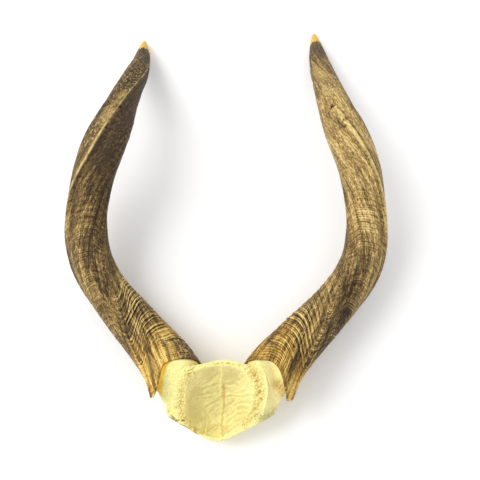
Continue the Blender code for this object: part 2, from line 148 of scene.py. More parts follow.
# Relief of the horns.
SEEDS = {"left": 10, "right": 50}
COARSE_RING = {"left": (0.0034, 0.0056), "right": (0.005, 0.0085)}
FINE_RING = {"left": (0.0018, 0.0028), "right": (0.0023, 0.003)}
RING_TONE = {"left": 1.1, "right": 0.7}
COARSE_HEIGHT = 0.00095
FINE_HEIGHT = 0.00042
ARC_HEIGHT = 0.00014
FIBRE_HEIGHT = 0.0002
GRAIN_HEIGHT = 0.00012
BLOTCH_HEIGHT = 0.00035
KEEL_GROOVE = 0.0012
CREST_WEAR = 0.0009
CHIP_DEPTH = 0.0022
FLAKE_DEPTH = 0.001
CRACK_DEPTH = 0.001
CRACK_WIDTH = 0.0007
GRAIN_RADIUS = 21.0
# Length round the horn of one degree.
DEGREE = np.radians(1.0) * GRAIN_RADIUS * MM

IVORY_LENGTH = {"left": 0.024, "right": 0.023}
CREST_END = {"left": 0.42, "right": 0.323}
# Places along the keel, in metres and degrees from its crest, with their reach.
CHIPS = {
    "left": ((0.3155, 0.0, 0.0022), (0.352, -2.0, 0.0014), (0.287, 1.0, 0.0012)),
    "right": ((0.3215, 2.5, 0.0024), (0.301, -5.0, 0.0022), (0.262, -1.0, 0.001)),
}
FLAKES = {
    "left": ((0.306, -17.0, 0.016), (0.332, -14.0, 0.008)),
    "right": ((0.386, -20.0, 0.021), (0.345, -8.0, 0.01)),
}
CRACKS = {
    "left": (((0.3165, 6.0), (0.312, -14.0)),),
    "right": (
        ((0.308, 13.0), (0.302, 15.5), (0.296, 14.0), (0.294, 8.0)),
        ((0.3225, 4.0), (0.3215, -6.0)),
        ((0.436, -10.0), (0.413, -29.0), (0.394, -37.0), (0.381, -48.0)),
    ),
}
# Dark and tan streaks near the rim, as distance and turn from the rear keel.
DARK_STREAKS = {
    "left": (
        (((0.022, 30.0), (0.006, 21.0), (-0.008, 15.0)), 0.0017),
        (((0.07, 5.0), (0.056, 3.0)), 0.0028),
        (((0.0975, 30.0), (0.0925, 4.0)), 0.0011),
        (((0.0885, 28.0), (0.0835, 4.0)), 0.001),
        (((0.023, 78.0), (0.011, 77.0), (0.003, 74.0)), 0.0013),
        (((0.029, 58.0), (0.012, 56.0)), 0.0012),
        (((0.033, 34.0), (0.02, 40.0)), 0.0012),
        (((0.022, 100.0), (0.008, 104.0)), 0.0012),
    ),
    "right": (
        (((0.043, 46.0), (0.028, 40.0), (0.013, 30.0)), 0.0024),
        (((0.02, 46.0), (0.004, 34.0), (-0.005, 26.0)), 0.0016),
        (((0.056, 84.0), (0.053, 52.0)), 0.0016),
        (((0.02, 120.0), (0.019, 92.0)), 0.0014),
    ),
}
# Ridges that stand out among the rings near the rim, as distance and turn from the rear keel.
RIDGES = {
    "left": (
        ((0.047, 48.0), (0.0478, 75.0), (0.047, 100.0)),
        ((0.069, 12.0), (0.0745, 36.0), (0.08, 60.0)),
        ((0.073, 10.0), (0.079, 34.0), (0.085, 58.0)),
        ((0.06, 60.0), (0.061, 85.0), (0.059, 110.0)),
    ),
    "right": (((0.06, 50.0), (0.064, 80.0), (0.064, 110.0)), ((0.033, 50.0), (0.034, 105.0))),
}
# How strongly each ridge's crest is painted lighter as a painted highlight, and the groove beside it
# darker as painted shade.
RIDGE_PAINTED_LIGHT = {"left": 1.0, "right": 0.4}
RIDGE_WIDTH = 0.0007
RIDGE_HEIGHT = 0.0007
# Lighter and darker regions: distance, turn, reach, spread and how much lighter.
TONES = {
    "left": (
        (0.205, -24.0, 0.045, 28.0, -0.24), (0.3, -60.0, 0.09, 45.0, -0.17),
        (0.35, 168.0, 0.11, 50.0, -0.17), (0.43, 150.0, 0.035, 120.0, -0.12),
        (0.045, 70.0, 0.03, 40.0, -0.1), (-0.006, 8.0, 0.014, 20.0, -0.16),
        (0.18, 60.0, 0.1, 60.0, -0.05), (0.012, 60.0, 0.016, 50.0, 0.12),
    ),
    "right": (
        (0.1, -36.0, 0.042, 32.0, -0.21), (0.265, -70.0, 0.1, 80.0, 0.31),
        (0.31, -175.0, 0.08, 50.0, 0.29), (0.38, -110.0, 0.07, 60.0, 0.04),
        (0.015, 70.0, 0.045, 80.0, -0.2), (0.05, 30.0, 0.022, 40.0, -0.06),
        # Of these, the darkening at 0.425 and 104 degrees, along the right horn's outer edge near the
        # tip, is a painted shadow.
        (-0.008, 12.0, 0.014, 24.0, 0.12), (0.425, 104.0, 0.022, 24.0, -0.08),
        (0.405, 145.0, 0.026, 32.0, -0.08), (0.06, 12.0, 0.016, 14.0, 0.1),
        (0.06, -14.0, 0.024, 8.0, -0.22), (0.098, -40.0, 0.026, 12.0, -0.22),
    ),
}
# How far the grain of the upper horn gathers into clumps.
CLUMPS = {"left": 1.0, "right": 0.3}
# Where the front keel begins to stand out, and the width in degrees of its worn crest.
KEEL_START = {"left": (0.19, 0.25), "right": (0.165, 0.215)}
KEEL_WEAR = {"left": 2.5, "right": 3.8}
# Painted shade on the face beside each front keel that is turned from the light: how much it darkens
# the tone, and how far its colour is mixed in.
PAINTED_FACE_SHADE = {"left": 0.16, "right": 0.04}
PAINTED_FACE_SHADE_MIX = {"left": 0.62, "right": 0.0}
# Painted shade: the dark line that runs beside the right keel's crest, on its side away from the
# light.
KEEL_PAINTED_SHADE = {"left": 0.0, "right": 0.48}
# A scale of horn has broken off the left base, rimward of this distance.
SCALE_LINE = {"left": 0.024, "right": -1.0}
SCALE_STEP = 0.0006

# The bowl, seen from above: its centre, and points round its edges, anticlockwise.
BOWL_CENTRE = (-0.003, 0.005)
BOWL_OUTLINE = (
    (0.053, 0.007), (0.054, 0.016), (0.045, 0.031), (0.032, 0.038), (0.018, 0.0415),
    (0.007, 0.0442), (-0.003, 0.0445), (-0.013, 0.043), (-0.0225, 0.041), (-0.039, 0.037),
    (-0.054, 0.024), (-0.059, 0.011), (-0.0575, 0.002), (-0.0572, -0.0045), (-0.045, -0.013),
    (-0.035, -0.0187), (-0.027, -0.0235), (-0.015, -0.0287), (-0.007, -0.0302), (-0.001, -0.0292),
    (0.01, -0.0243), (0.02, -0.0192), (0.03, -0.015), (0.039, -0.0103), (0.049, -0.004),
    (0.0515, 0.0),
)
CAVITY_EDGE = (
    (0.0267, 0.0087), (0.0247, 0.0222), (0.02, 0.0325), (0.012, 0.0375), (-0.0046, 0.0393),
    (-0.0183, 0.038), (-0.028, 0.034), (-0.0355, 0.024), (-0.038, 0.01), (-0.0386, -0.0022),
    (-0.036, -0.0132), (-0.028, -0.02), (-0.015, -0.0255), (-0.0037, -0.0265), (0.006, -0.0205),
    (0.015, -0.0141), (0.0228, -0.005),
)
CUT_EDGE = (
    (0.0407, 0.0078), (0.0417, 0.0168), (0.0405, 0.0275), (0.035, 0.0345), (0.018, 0.0405),
    (-0.003, 0.043), (-0.0225, 0.04), (-0.0385, 0.036), (-0.053, 0.0235), (-0.057, 0.011),
    (-0.056, 0.0), (-0.055, -0.006), (-0.04, -0.0155), (-0.027, -0.0225), (-0.007, -0.029),
    (0.01, -0.0232), (0.03, -0.0138), (0.0369, -0.0077), (0.0389, -0.0018),
)
EDGE_MARGIN = 0.0006
SIDE_FALL = 0.009
CUT_LOW_POINT = (-0.029, 0.022)
CUT_SLOPE = 0.6
CAVITY_DEPTH = 0.025
# Share of the way out to the cavity's edge, and share of the depth there.
CAVITY_PROFILE = (
    (0.0, 1.0), (0.2, 0.99), (0.42, 0.92), (0.64, 0.76), (0.82, 0.5), (0.94, 0.22), (1.0, 0.0),
)
# The right wall of the cavity rises more gently.
CAVITY_PROFILE_RIGHT = (
    (0.0, 1.0), (0.2, 0.98), (0.42, 0.87), (0.64, 0.64), (0.82, 0.34), (0.94, 0.1), (1.0, 0.0),
)
FOREHEAD_RISE_ACROSS = 8.2
FOREHEAD_RISE_ALONG = 18.5
FOREHEAD_FLAT = 0.001
# How much of the edge's height is left at each share of the way out under the forehead.
FOREHEAD_EDGE = ((0.8, 0.0), (0.86, 0.03), (0.92, 0.12), (0.97, 0.38), (1.0, 1.0))

# Stub of bone from inside each socket down into the bowl's wall. It is narrower on the
# side of the rear keel, where the sheath's spike hangs free.
STUB_CLEARANCE = 0.0003
STUB_END = SOCKET_DEPTH - 0.001
STUB_MOUTH = 0.001
STUB_NECK = -0.002
STUB_DROP = 0.0032
STUB_WAIST = 0.0056
STUB_WAIST_WIDTH = 45.0
STUB_ROOTS = {"left": (-0.0465, 0.015, 0.04), "right": (0.0408, 0.015, 0.034)}
STUB_ROOT_SCALE = 0.66
# On the right the bone falls away outside the cut, as the hollow of the temple.
FOSSA_SLOPE = 0.5
FOSSA_DEPTH = 0.0042

# Mesh of the bowl: points round it, rings in each stretch, and the voxels it is fused by.
BOWL_SIDES = 256
CAVITY_RINGS = 56
CUT_RINGS = 18
SIDE_RINGS = 8
FOREHEAD_RINGS = 70
STUB_SOCKET_ROWS = 12
STUB_ROWS = 30
CAP_VOXEL = 0.0006

# Lines of bone detail, seen from above.
MIDLINE = (
    (-0.0024, 0.043), (-0.0018, 0.0357), (-0.0032, 0.0293), (-0.0041, 0.0216), (-0.0035, 0.0151),
    (-0.0026, 0.0085), (-0.0031, 0.0018), (-0.0044, -0.0068), (-0.0039, -0.0163),
    (-0.0032, -0.0262),
)
MIDLINE_WIDTH = 0.0009
MIDLINE_HEIGHT = 0.0018
# A shallow groove, painted darker as a painted shadow, along the right side of the midline ridge.
MIDLINE_SHADE = (
    (-0.0004, 0.024), (-0.001, 0.011), (-0.0014, 0.002), (-0.0026, -0.0085), (-0.0024, -0.024),
)
MIDLINE_SHADE_WIDTH = 0.0007
MIDLINE_STAIN = ((-0.001, 0.024), (-0.0014, 0.0176), (-0.0011, 0.011))
MIDLINE_STAIN_WIDTH = 0.0012
FOLDS = (
    ((-0.0204, 0.0226), (-0.0132, 0.0267), (-0.0055, 0.0321)),
    ((-0.0218, 0.0177), (-0.016, 0.0214), (-0.0098, 0.0226), (-0.0049, 0.0234)),
    ((-0.025, 0.0131), (-0.0171, 0.0158), (-0.0118, 0.0151), (-0.0055, 0.0166)),
    ((-0.0198, 0.01), (-0.0136, 0.0122), (-0.0055, 0.0143)),
    ((-0.0186, 0.0016), (-0.0128, 0.0059), (-0.0051, 0.0085)),
    ((-0.0263, 0.0097), (-0.0204, 0.0016), (-0.018, -0.0069), (-0.0183, -0.0138), (-0.0201, -0.0234)),
    ((-0.0138, -0.0034), (-0.0101, 0.0017), (-0.0056, 0.0034)),
    ((-0.0152, -0.0207), (-0.0101, -0.0163), (-0.0047, -0.0146)),
    ((0.0009, 0.0227), (0.0081, 0.0235), (0.0134, 0.0222), (0.0178, 0.0191)),
    ((0.0004, 0.0159), (0.0062, 0.0165), (0.0134, 0.0147), (0.0221, 0.0162)),
    ((0.0007, 0.011), (0.0089, 0.0133), (0.0178, 0.0107), (0.0256, 0.0118)),
    ((0.0016, -0.0034), (0.0034, 0.0017), (0.0098, 0.0083)),
    ((0.0025, -0.0073), (0.008, -0.0027), (0.016, 0.0008), (0.023, -0.0003)),
    ((0.003, -0.0126), (0.0089, -0.0075), (0.0178, -0.0045), (0.0256, -0.0045)),
    ((0.0036, -0.0174), (0.0116, -0.012), (0.0213, -0.009)),
    ((0.0011, -0.0238), (0.009, -0.0185), (0.0169, -0.0147), (0.023, -0.0131)),
    ((0.0164, 0.0335), (0.0186, 0.0282), (0.0229, 0.0231), (0.0272, 0.0173)),
    ((0.0116, 0.0048), (0.0187, 0.0056), (0.0256, 0.0045)),
)
FOLD_WIDTH = 0.0011
FOLD_HEIGHT = 0.0011
# From each fold's crest to the furrow that runs beside it, which is also painted darker as painted
# shade.
FURROW_SHIFT = (-0.0011, 0.0014)
FURROW_DEPTH = 0.0007
# Fine wrinkles run along this direction, by their length and their pitch.
WRINKLE_ALONG = (0.9, 0.43)
WRINKLE_LENGTH = 0.008
WRINKLE_PITCH = 0.0024
WRINKLE_HEIGHT = 0.00036
# Hollows of the cavity that are painted with shade: centre and reach.
PAINTED_SHADE_HOLLOWS = (
    ((0.0072, 0.031), (0.008, 0.007)),
    ((-0.014, 0.0335), (0.009, 0.0045)),
    ((-0.029, 0.003), (0.0075, 0.02)),
    ((0.0185, -0.006), (0.01, 0.014)),
    ((0.004, -0.019), (0.012, 0.006)),
)
CUT_RIDGE = (
    (0.0375, -0.006), (0.0386, 0.0004), (0.0405, 0.0085), (0.0421, 0.0165), (0.0411, 0.0245),
    (0.0392, 0.0325), (0.0357, 0.0384), (0.0314, 0.0408),
)
CUT_RIDGE_WIDTH = 0.0008
CUT_RIDGE_HEIGHT = 0.0008
# The left sheath's bed, where the bone is stained and lies lower than the saw cut.
SHEATH_BED = (
    (-0.0455, 0.0452), (-0.0482, 0.0441), (-0.0542, 0.0396), (-0.0588, 0.0293), (-0.0604, 0.0181),
    (-0.06, 0.012),
)
BED_SLOPE = 0.9
BED_DEPTH = 0.0007
# Bands of open, spongy bone: the line, its width and the number of pores.
SPONGY_BANDS = (
    (
        ((-0.0335, 0.0365), (-0.0345, 0.029), (-0.0414, 0.0197), (-0.042, 0.0036), (-0.041, -0.01)),
        0.004,
        150,
    ),
    (
        ((0.0243, 0.0395), (0.0311, 0.027), (0.034, 0.0137), (0.0293, -0.0015), (0.018, -0.013)),
        0.0052,
        170,
    ),
    (((-0.025, 0.0395), (-0.003, 0.0418), (0.018, 0.0395)), 0.0008, 18),
    (((-0.04, -0.0115), (-0.033, -0.0165), (-0.025, -0.021)), 0.0022, 45),
)
LOOPS = (
    ((-0.0298, 0.0396), (-0.0354, 0.0352), (-0.036, 0.0285), (-0.0329, 0.0264)),
    ((-0.0346, 0.0333), (-0.0307, 0.0345), (-0.0293, 0.0316), (-0.0325, 0.0265)),
)
LOOP_WIDTH = 0.0009
LOOP_HEIGHT = 0.0012
# Each loop stands in a sunken strip of this width.
LOOP_MOAT_WIDTH = 2.6 * LOOP_WIDTH
SLITS = (
    ((-0.0542, -0.0074), (-0.0508, -0.0086), (-0.0452, -0.0127), (-0.0366, -0.0172), (-0.03, -0.0197)),
    ((-0.052, -0.006), (-0.0469, -0.0098), (-0.0399, -0.0102)),
)
SLIT_WIDTH = 0.00045
SLIT_DEPTH = 0.0018
# A line along the lower left outer edge, seen from above, that is darker and slightly sunken.
DARK_EDGE_LINE = ((-0.054, -0.008), (-0.045, -0.013), (-0.035, -0.0187), (-0.027, -0.0235))
ROUGH_EDGE = ((0.0361, -0.0074), (0.0422, -0.0061), (0.0491, -0.0029))
TEMPLE_STAIN = ((0.0505, 0.0237), (0.0557, 0.0197), (0.0567, 0.0141))
SPECKS = (
    (0.0211, 0.0352), (0.0293, 0.0309), (0.0319, 0.0257), (0.0346, 0.0157), (0.0312, 0.0125),
    (0.0359, 0.0089), (0.0295, -0.0008), (0.029, 0.0002), (0.0313, -0.0053), (-0.0571, 0.0133),
    (-0.0538, 0.0225), (-0.047, 0.002), (-0.0545, -0.002), (-0.0381, -0.0086), (-0.0335, -0.0099),
    (-0.0285, -0.0184), (-0.0296, -0.0222),
)
SPECK_REACH = 0.0017
PORE_REACH = (0.0004, 0.0009)
PORE_DEPTH = 0.0005
SPECK_DEPTH = 0.0008

# The two small holes of the forehead: how far out and back, their reach and depth.
HOLE_PLACE = (0.0210, -0.0030)
HOLE_REACH = 0.0016
HOLE_DEPTH = 0.0030
# The groove that runs from each hole: how far in and to what place along, and its depth.
GROOVE_TURN = 0.004
GROOVE_END = -0.020
GROOVE_DEPTH = 0.0007
SUTURE_WIDTH = 0.0005
SUTURE_DEPTH = 0.0006


def read_table(rows, where):
    """Smooth value of a table of (place, value) rows at each place of an array."""
    places = np.array([row[0] for row in rows])
    values = np.array([row[1] for row in rows], dtype=float)
    slopes = np.gradient(values, places)
    where = np.clip(where, places[0], places[-1])
    k = np.clip(np.searchsorted(places, where) - 1, 0, len(places) - 2)
    span = places[k + 1] - places[k]
    t = (where - places[k]) / span
    return (
        (2 * t**3 - 3 * t**2 + 1) * values[k]
        + (t**3 - 2 * t**2 + t) * span * slopes[k]
        + (3 * t**2 - 2 * t**3) * values[k + 1]
        + (t**3 - t**2) * span * slopes[k + 1]
    )


def turn_between(degrees):
    """The same turn between -180 and 180 degrees."""
    return (degrees + 180.0) % 360.0 - 180.0


def ease(value, low, high):
    """0 below low, 1 above high and smooth between."""
    t = np.clip((value - low) / (high - low), 0.0, 1.0)
    return t * t * (3.0 - 2.0 * t)


def bell(value, centre, width):
    return np.exp(-(((value - centre) / width) ** 2))


def lattice(corner, seed):
    """A fixed value between -1 and 1 for each whole-numbered corner."""
    mixed = corner[..., 0] * 374761393 + corner[..., 1] * 668265263
    mixed = mixed + corner[..., 2] * 1442695041 + seed * 1013904223
    mixed = mixed & 0xFFFFFFFF
    mixed = ((mixed ^ (mixed >> 13)) * 1274126177) & 0xFFFFFFFF
    mixed = mixed ^ (mixed >> 16)
    return (mixed & 0xFFFF) / 32767.5 - 1.0


def noise(points, seed):
    """Smooth noise with cells one unit wide, about -0.8 to 0.8."""
    low = np.floor(points).astype(np.int64)
    t = points - low
    t = t * t * t * (t * (t * 6.0 - 15.0) + 10.0)
    total = np.zeros(points.shape[:-1])
    for corner in range(8):
        step = np.array([corner & 1, corner >> 1 & 1, corner >> 2 & 1])
        weight = np.where(step == 1, t, 1.0 - t).prod(axis=-1)
        total += weight * lattice(low + step, seed)
    return total


def fractal(points, seed, octaves):
    total = np.zeros(points.shape[:-1])
    for octave in range(octaves):
        total += noise(points * 2.0**octave, seed + octave) * 0.5**octave
    return total


class Axis:
    """Natural cubic curve through a horn's axis points, measured in metres from the rim."""

    SAMPLES = 1200
    STEP = 0.0005

    def __init__(self, side):
        self.side = side
        self.points = np.array(HORN_AXES[side])
        chords = np.linalg.norm(np.diff(self.points, axis=0), axis=1)
        self.knots = np.concatenate(([0.0], np.cumsum(chords)))
        self.bends = self.solve_bends(chords)
        self.places = np.linspace(0.0, self.knots[-1], self.SAMPLES)
        steps = np.linalg.norm(np.diff(self.curve(self.places), axis=0), axis=1)
        run = np.concatenate(([0.0], np.cumsum(steps)))
        self.run = run - np.interp(self.knots[RIM_POINT], self.places, run)
        self.length = self.run[-1]

    def place(self, distance):
        """The distance as it would be on a horn of HORN_LENGTH."""
        return distance / self.length * HORN_LENGTH

    def solve_bends(self, chords):
        count = len(self.points)
        matrix = np.eye(count)
        right = np.zeros((count, 3))
        for k in range(1, count - 1):
            before = chords[k - 1]
            after = chords[k]
            matrix[k, k - 1 : k + 2] = (before, 2 * (before + after), after)
            rise = (self.points[k + 1] - self.points[k]) / after
            fall = (self.points[k] - self.points[k - 1]) / before
            right[k] = 6 * (rise - fall)
        return np.linalg.solve(matrix, right)

    def curve(self, places):
        k = np.clip(np.searchsorted(self.knots, places) - 1, 0, len(self.knots) - 2)
        span = (self.knots[k + 1] - self.knots[k])[:, None]
        a = (self.knots[k + 1] - places)[:, None] / span
        b = 1.0 - a
        bend = (a**3 - a) * self.bends[k] + (b**3 - b) * self.bends[k + 1]
        return a * self.points[k] + b * self.points[k + 1] + bend * span**2 / 6

    def at(self, distance):
        """Centre and direction at each distance from the rim."""
        low = np.clip(distance - self.STEP, self.run[0], self.length - 2 * self.STEP)
        high = low + 2 * self.STEP
        centre = self.curve(np.interp(distance, self.run, self.places))
        start = self.curve(np.interp(low, self.run, self.places))
        end = self.curve(np.interp(high, self.run, self.places))
        direction = end - start
        return centre, direction / np.linalg.norm(direction, axis=1)[:, None]


def rim_drop(side, turn):
    return read_table(RIM_DROP[side], turn_between(turn))


def rim_fade(distance):
    """1 at the rim, and less and less along the horn."""
    return np.exp(-np.maximum(distance, 0.0) / DROP_FADE)


def front_keel(axis, distance):
    return read_table(FRONT_KEEL_TURN[axis.side], axis.place(distance))


def keel_crest(away):
    """Height share of a keel, sharp on its inner flank and blunter on the other."""
    flank = np.where(away > 0, SHARP_FLANK, BLUNT_FLANK)
    return np.exp(CREST_ROUNDING - np.hypot(away / flank, CREST_ROUNDING))


def horn_radius(axis, distance, turn):
    """Distance of the plain sheath's surface from its axis."""
    place = axis.place(distance)
    left = np.maximum(axis.length - distance, 0.0)
    body = read_table(HORN_RADIUS, place) * np.sqrt(1.0 - np.exp(-left / TIP_ROUNDING))
    oval = 1.0 + OVAL_SHARE * np.cos(2.0 * np.radians(turn - OVAL_TURN))
    from_front = turn_between(turn - front_keel(axis, distance))
    front = read_table(FRONT_KEEL_HEIGHT, place) * keel_crest(from_front)
    rear = read_table(REAR_KEEL_HEIGHT, place) * keel_crest(turn_between(turn))
    return body * oval + front + rear


def place_on_axis(axis, distance, turn, radius):
    """Points at a turn and radius about the axis, in an array of rows by sides."""
    flat = distance.ravel()
    centre, direction = axis.at(flat)
    up = np.array([0.0, 0.0, 1.0]) - direction[:, 2:3] * direction
    up /= np.linalg.norm(up, axis=1)[:, None]
    inner = np.cross(direction, up) * -OUTWARD[axis.side]
    rear = read_table(REAR_KEEL_TURN, axis.place(flat)) - KEEL_LAG[axis.side] * rim_fade(flat)
    angle = np.radians(rear + turn.ravel())[:, None]
    offset = radius.ravel()[:, None] * (np.cos(angle) * up + np.sin(angle) * inner)
    points = centre + offset
    points[:, 2] = np.maximum(points[:, 2], 0.0)
    return points.reshape(distance.shape + (3,))


def grown_grid(axis, grown_rows):
    """Grown distance, turn and true distance from the rim, rows by sides."""
    turns = np.arange(HORN_SIDES) * 360.0 / HORN_SIDES
    grown, turn = np.meshgrid(grown_rows, turns, indexing="ij")
    distance = np.minimum(grown - rim_drop(axis.side, turn) * rim_fade(grown), axis.length)
    # One line of points keeps to the front keel's crest, and those beside it lean with it.
    sway = front_keel(axis, distance) + KEEL_SPREAD
    lean = sway * bell(turn_between(turn + KEEL_SPREAD), 0.0, KEEL_SWAY_WIDTH)
    return grown, turn + lean, distance


def ring_profile(pitch, seed, sharpness):
    """A function of the ring distance: ridges at uneven steps, steep on the rim's side."""
    rng = np.random.default_rng(seed)
    edges = [-0.03]
    while edges[-1] < HORN_LENGTH + 0.03:
        edges.append(edges[-1] + rng.uniform(*pitch))
    edges = np.array(edges)
    heights = rng.uniform(0.45, 1.0, len(edges))

    def profile(place):
        k = np.clip(np.searchsorted(edges, place) - 1, 0, len(edges) - 2)
        share = (place - edges[k]) / (edges[k + 1] - edges[k])
        rise = np.sin(np.pi * np.clip(share, 0.0, 1.0) ** sharpness)
        return heights[k] * (2.0 * rise - 1.0)

    return profile


def horn_relief(axis, grown, turn, distance):
    """Height of the surface detail, and the marks that the material reads."""
    side = axis.side
    seed = SEEDS[side]
    away = turn_between(turn)
    angle = np.radians(turn)
    girth = read_table(HORN_RADIUS, axis.place(distance)) / MM
    grain = np.stack((girth * np.cos(angle), girth * np.sin(angle), distance / MM), axis=-1)

    # Ring lines, warped a little so that no two run quite alike.
    follow = rim_fade(grown)
    bow = ease(grown, *BOW_START)
    drop = read_table(RING_DROP, away)
    drop += (read_table(BOW_DROP, away) - drop) * bow
    warp = 1.2 * MM * fractal(grain / (13.0, 13.0, 26.0), seed, 2)
    place = distance + rim_drop(side, turn) * follow + drop * (1.0 - follow) + warp

    inner = bell(away, 62.0, 62.0)
    outer = bell(away, -70.0, 52.0)
    under = bell(turn_between(away - 180.0), 0.0, 50.0)
    coarse_reach = ease(grown, 0.018, 0.036) * (1.0 - ease(grown, 0.080, 0.135))
    fine_reach = ease(grown, 0.0, 0.008) * (1.0 - ease(grown, 0.080, 0.150))
    arc_reach = ease(grown, 0.055, 0.095) * (1.0 - ease(grown, 0.205, 0.260))
    coarse = ring_profile(COARSE_RING[side], seed + 3, 0.55)(place)
    fine = ring_profile(FINE_RING[side], seed + 4, 0.7)(place)
    patchy = np.clip(0.80 + 0.75 * fractal(grain / (16.0, 16.0, 12.0), seed + 5, 2), 0.0, 1.6)
    coarse_share = coarse_reach * (inner + 0.35 * under + 0.15 * outer) * patchy
    fine_share = fine_reach * (inner + 0.4 * under + 0.25 * outer) * patchy
    arc_share = arc_reach * (outer + 0.35 * under + 0.25 * inner) * patchy
    relief = coarse * coarse_share * COARSE_HEIGHT
    relief += fine * (fine_share * FINE_HEIGHT + arc_share * ARC_HEIGHT)
    ring_mark = RING_TONE[side] * coarse * coarse_share + fine * (fine_share + 0.35 * arc_share)

    # Fibres run along the horn, and broad low swellings break up the plain faces.
    fibre = fractal(grain / (2.2, 2.2, 12.0), seed + 6, 2)
    grit = noise(grain / (1.7, 1.7, 2.6), seed + 11)
    blotch = fractal(grain / (11.0, 11.0, 40.0), seed + 7, 2)
    relief += FIBRE_HEIGHT * fibre + GRAIN_HEIGHT * grit + BLOTCH_HEIGHT * blotch

    # The front keel has a hollow along its inner side, and its crest is worn and chipped.
    from_keel = turn_between(turn - front_keel(axis, distance))
    keel_plan = np.stack((distance, from_keel * DEGREE), axis=-1)
    rear_plan = np.stack((distance, away * DEGREE), axis=-1)
    keeled = ease(distance, *KEEL_START[side])
    relief -= KEEL_GROOVE * bell(from_keel, 16.0, 7.5) * keeled * (1.0 - ease(distance, 0.40, 0.43))
    ragged = noise(np.stack((distance / 0.0035, 0 * distance, 0 * distance), -1), seed + 8)
    relief -= CREST_WEAR * np.abs(ragged) * bell(from_keel, 0.0, 5.0) * keeled
    broken = np.zeros(distance.shape)
    jagged = 0.0009 * fractal(grain / (1.9, 1.9, 1.9), seed + 12, 2)
    for at, turned, reach in CHIPS[side]:
        gap = np.linalg.norm((keel_plan - (at, turned * DEGREE)) * (1.0, 0.55), axis=-1) + jagged
        broken = np.maximum(broken, 1.0 - ease(gap, 0.55 * reach, reach))
    relief -= CHIP_DEPTH * broken
    flaky = np.zeros(distance.shape)
    for at, turned, reach in FLAKES[side]:
        gap = np.linalg.norm((keel_plan - (at, turned * DEGREE)) * (0.7, 1.6), axis=-1)
        flaky = np.maximum(flaky, 1.0 - ease(gap, 0.3 * reach, 1.1 * reach))
    scales = np.round(2.5 * fractal(grain / (3.4, 3.4, 5.5), seed + 13, 2)) / 2.5
    relief += FLAKE_DEPTH * flaky * scales
    crack = strokes(keel_plan, [np.array(line) * (1.0, DEGREE) for line in CRACKS[side]], CRACK_WIDTH)
    relief -= CRACK_DEPTH * crack
    wear = KEEL_WEAR[side] * (1.0 - 0.5 * ease(distance, 0.285, 0.300))
    worn = bell(from_keel, -1.2, wear) * keeled * np.clip(1.0 + 0.8 * ragged, 0.0, 1.0)
    worn *= 1.0 - ease(distance, CREST_END[side] - 0.006, CREST_END[side])
    # Cracks are darkened, and each chip carries painted shade on the keel's inner side.
    dark_and_shade = np.maximum(crack, 0.95 * broken * ease(from_keel, -3.0, 1.0))

    # Near the rim: lengthwise streaks, and the edge of a scale that broke off.
    for line, width in DARK_STREAKS[side]:
        wobble = width * (1.0 + 0.7 * fractal(grain / (4.0, 4.0, 9.0), seed + 14, 2))
        dark_and_shade = np.maximum(dark_and_shade, 0.75 * stroke(rear_plan, np.array(line) * (1.0, DEGREE), wobble))
    for line in RIDGES[side]:
        line = np.array(line) * (1.0, DEGREE)
        crest = stroke(rear_plan, line, RIDGE_WIDTH)
        groove = stroke(rear_plan + (2.0 * RIDGE_WIDTH, 0.0), line, RIDGE_WIDTH)
        relief += RIDGE_HEIGHT * (crest - groove)
        # Painted highlight on the ridge's crest and painted shade in the groove rimward of it.
        ring_mark += RIDGE_PAINTED_LIGHT[side] * (crest - groove)
    edge = SCALE_LINE[side] + 0.0005 * noise(grain / 6.0, seed + 15)
    beside = ease(away, 74.0, 84.0) * (1.0 - ease(away, 160.0, 172.0))
    scaly = beside * (1.0 - ease(grown, edge - 0.0004, edge + 0.0004))
    relief += SCALE_STEP * scaly * (scales * 0.6 - 0.7)
    dark_and_shade = np.maximum(dark_and_shade, beside * bell(grown, edge + 0.0002, 0.0010))
    scaly *= ease(away, 92.0, 100.0)
    dark_and_shade = np.maximum(dark_and_shade, scaly * np.clip(0.25 - 0.6 * grit, 0.0, 0.6))

    tone = np.zeros(distance.shape)
    for at, turned, reach, spread, amount in TONES[side]:
        tone += amount * bell(distance, at, reach) * bell(turn_between(turn - turned), 0.0, spread)
    # Painted shade over the face beside the front keel that is turned away from the light.
    painted_face_shade = ease(from_keel, 1.2, 3.6) * (1.0 - ease(from_keel, 35.0, 100.0))
    painted_face_shade *= ease(distance, 0.230, 0.272) * (1.0 - ease(distance, 0.405, 0.430))
    tone -= PAINTED_FACE_SHADE[side] * painted_face_shade
    # Painted shade beside the right keel's crest.
    tone -= KEEL_PAINTED_SHADE[side] * bell(from_keel, -9.0, 3.0) * keeled * (1.0 - ease(distance, 0.29, 0.31))

    tip_line = axis.length - IVORY_LENGTH[side]
    jag = 0.0045 * fractal(grain / (3.2, 3.2, 30.0), seed + 9, 2)
    ivory = ease(distance + jag, tip_line - 0.0006, tip_line + 0.0006)
    char = ease(distance + 0.5 * jag, axis.length - 0.070, axis.length - 0.040)
    gold = (1.0 - ease(grown + 0.012 * blotch, 0.006, 0.078)) * (1.0 - 0.9 * scaly)
    marks = {
        "ring": ring_mark,
        "tone": tone,
        "worn": worn,
        "flaky": flaky,
        "dark_and_shade": dark_and_shade,
        "ivory": ivory,
        "char": char,
        "gold": gold,
        "painted_shade": PAINTED_FACE_SHADE_MIX[side] * painted_face_shade,
        "woven": 1.0 - 0.8 * ease(distance, 0.190, 0.260),
        "clumpy": np.maximum(CLUMPS[side] * ease(distance, 0.225, 0.285), scaly),
    }
    tip_calm = 1.0 - ease(distance, tip_line - 0.012, tip_line)
    rim_calm = ease(grown, 0.0, 0.003)
    lines = np.stack((grain[..., 0], grain[..., 1], place / MM), axis=-1)
    return relief * tip_calm * rim_calm, grain, lines, marks


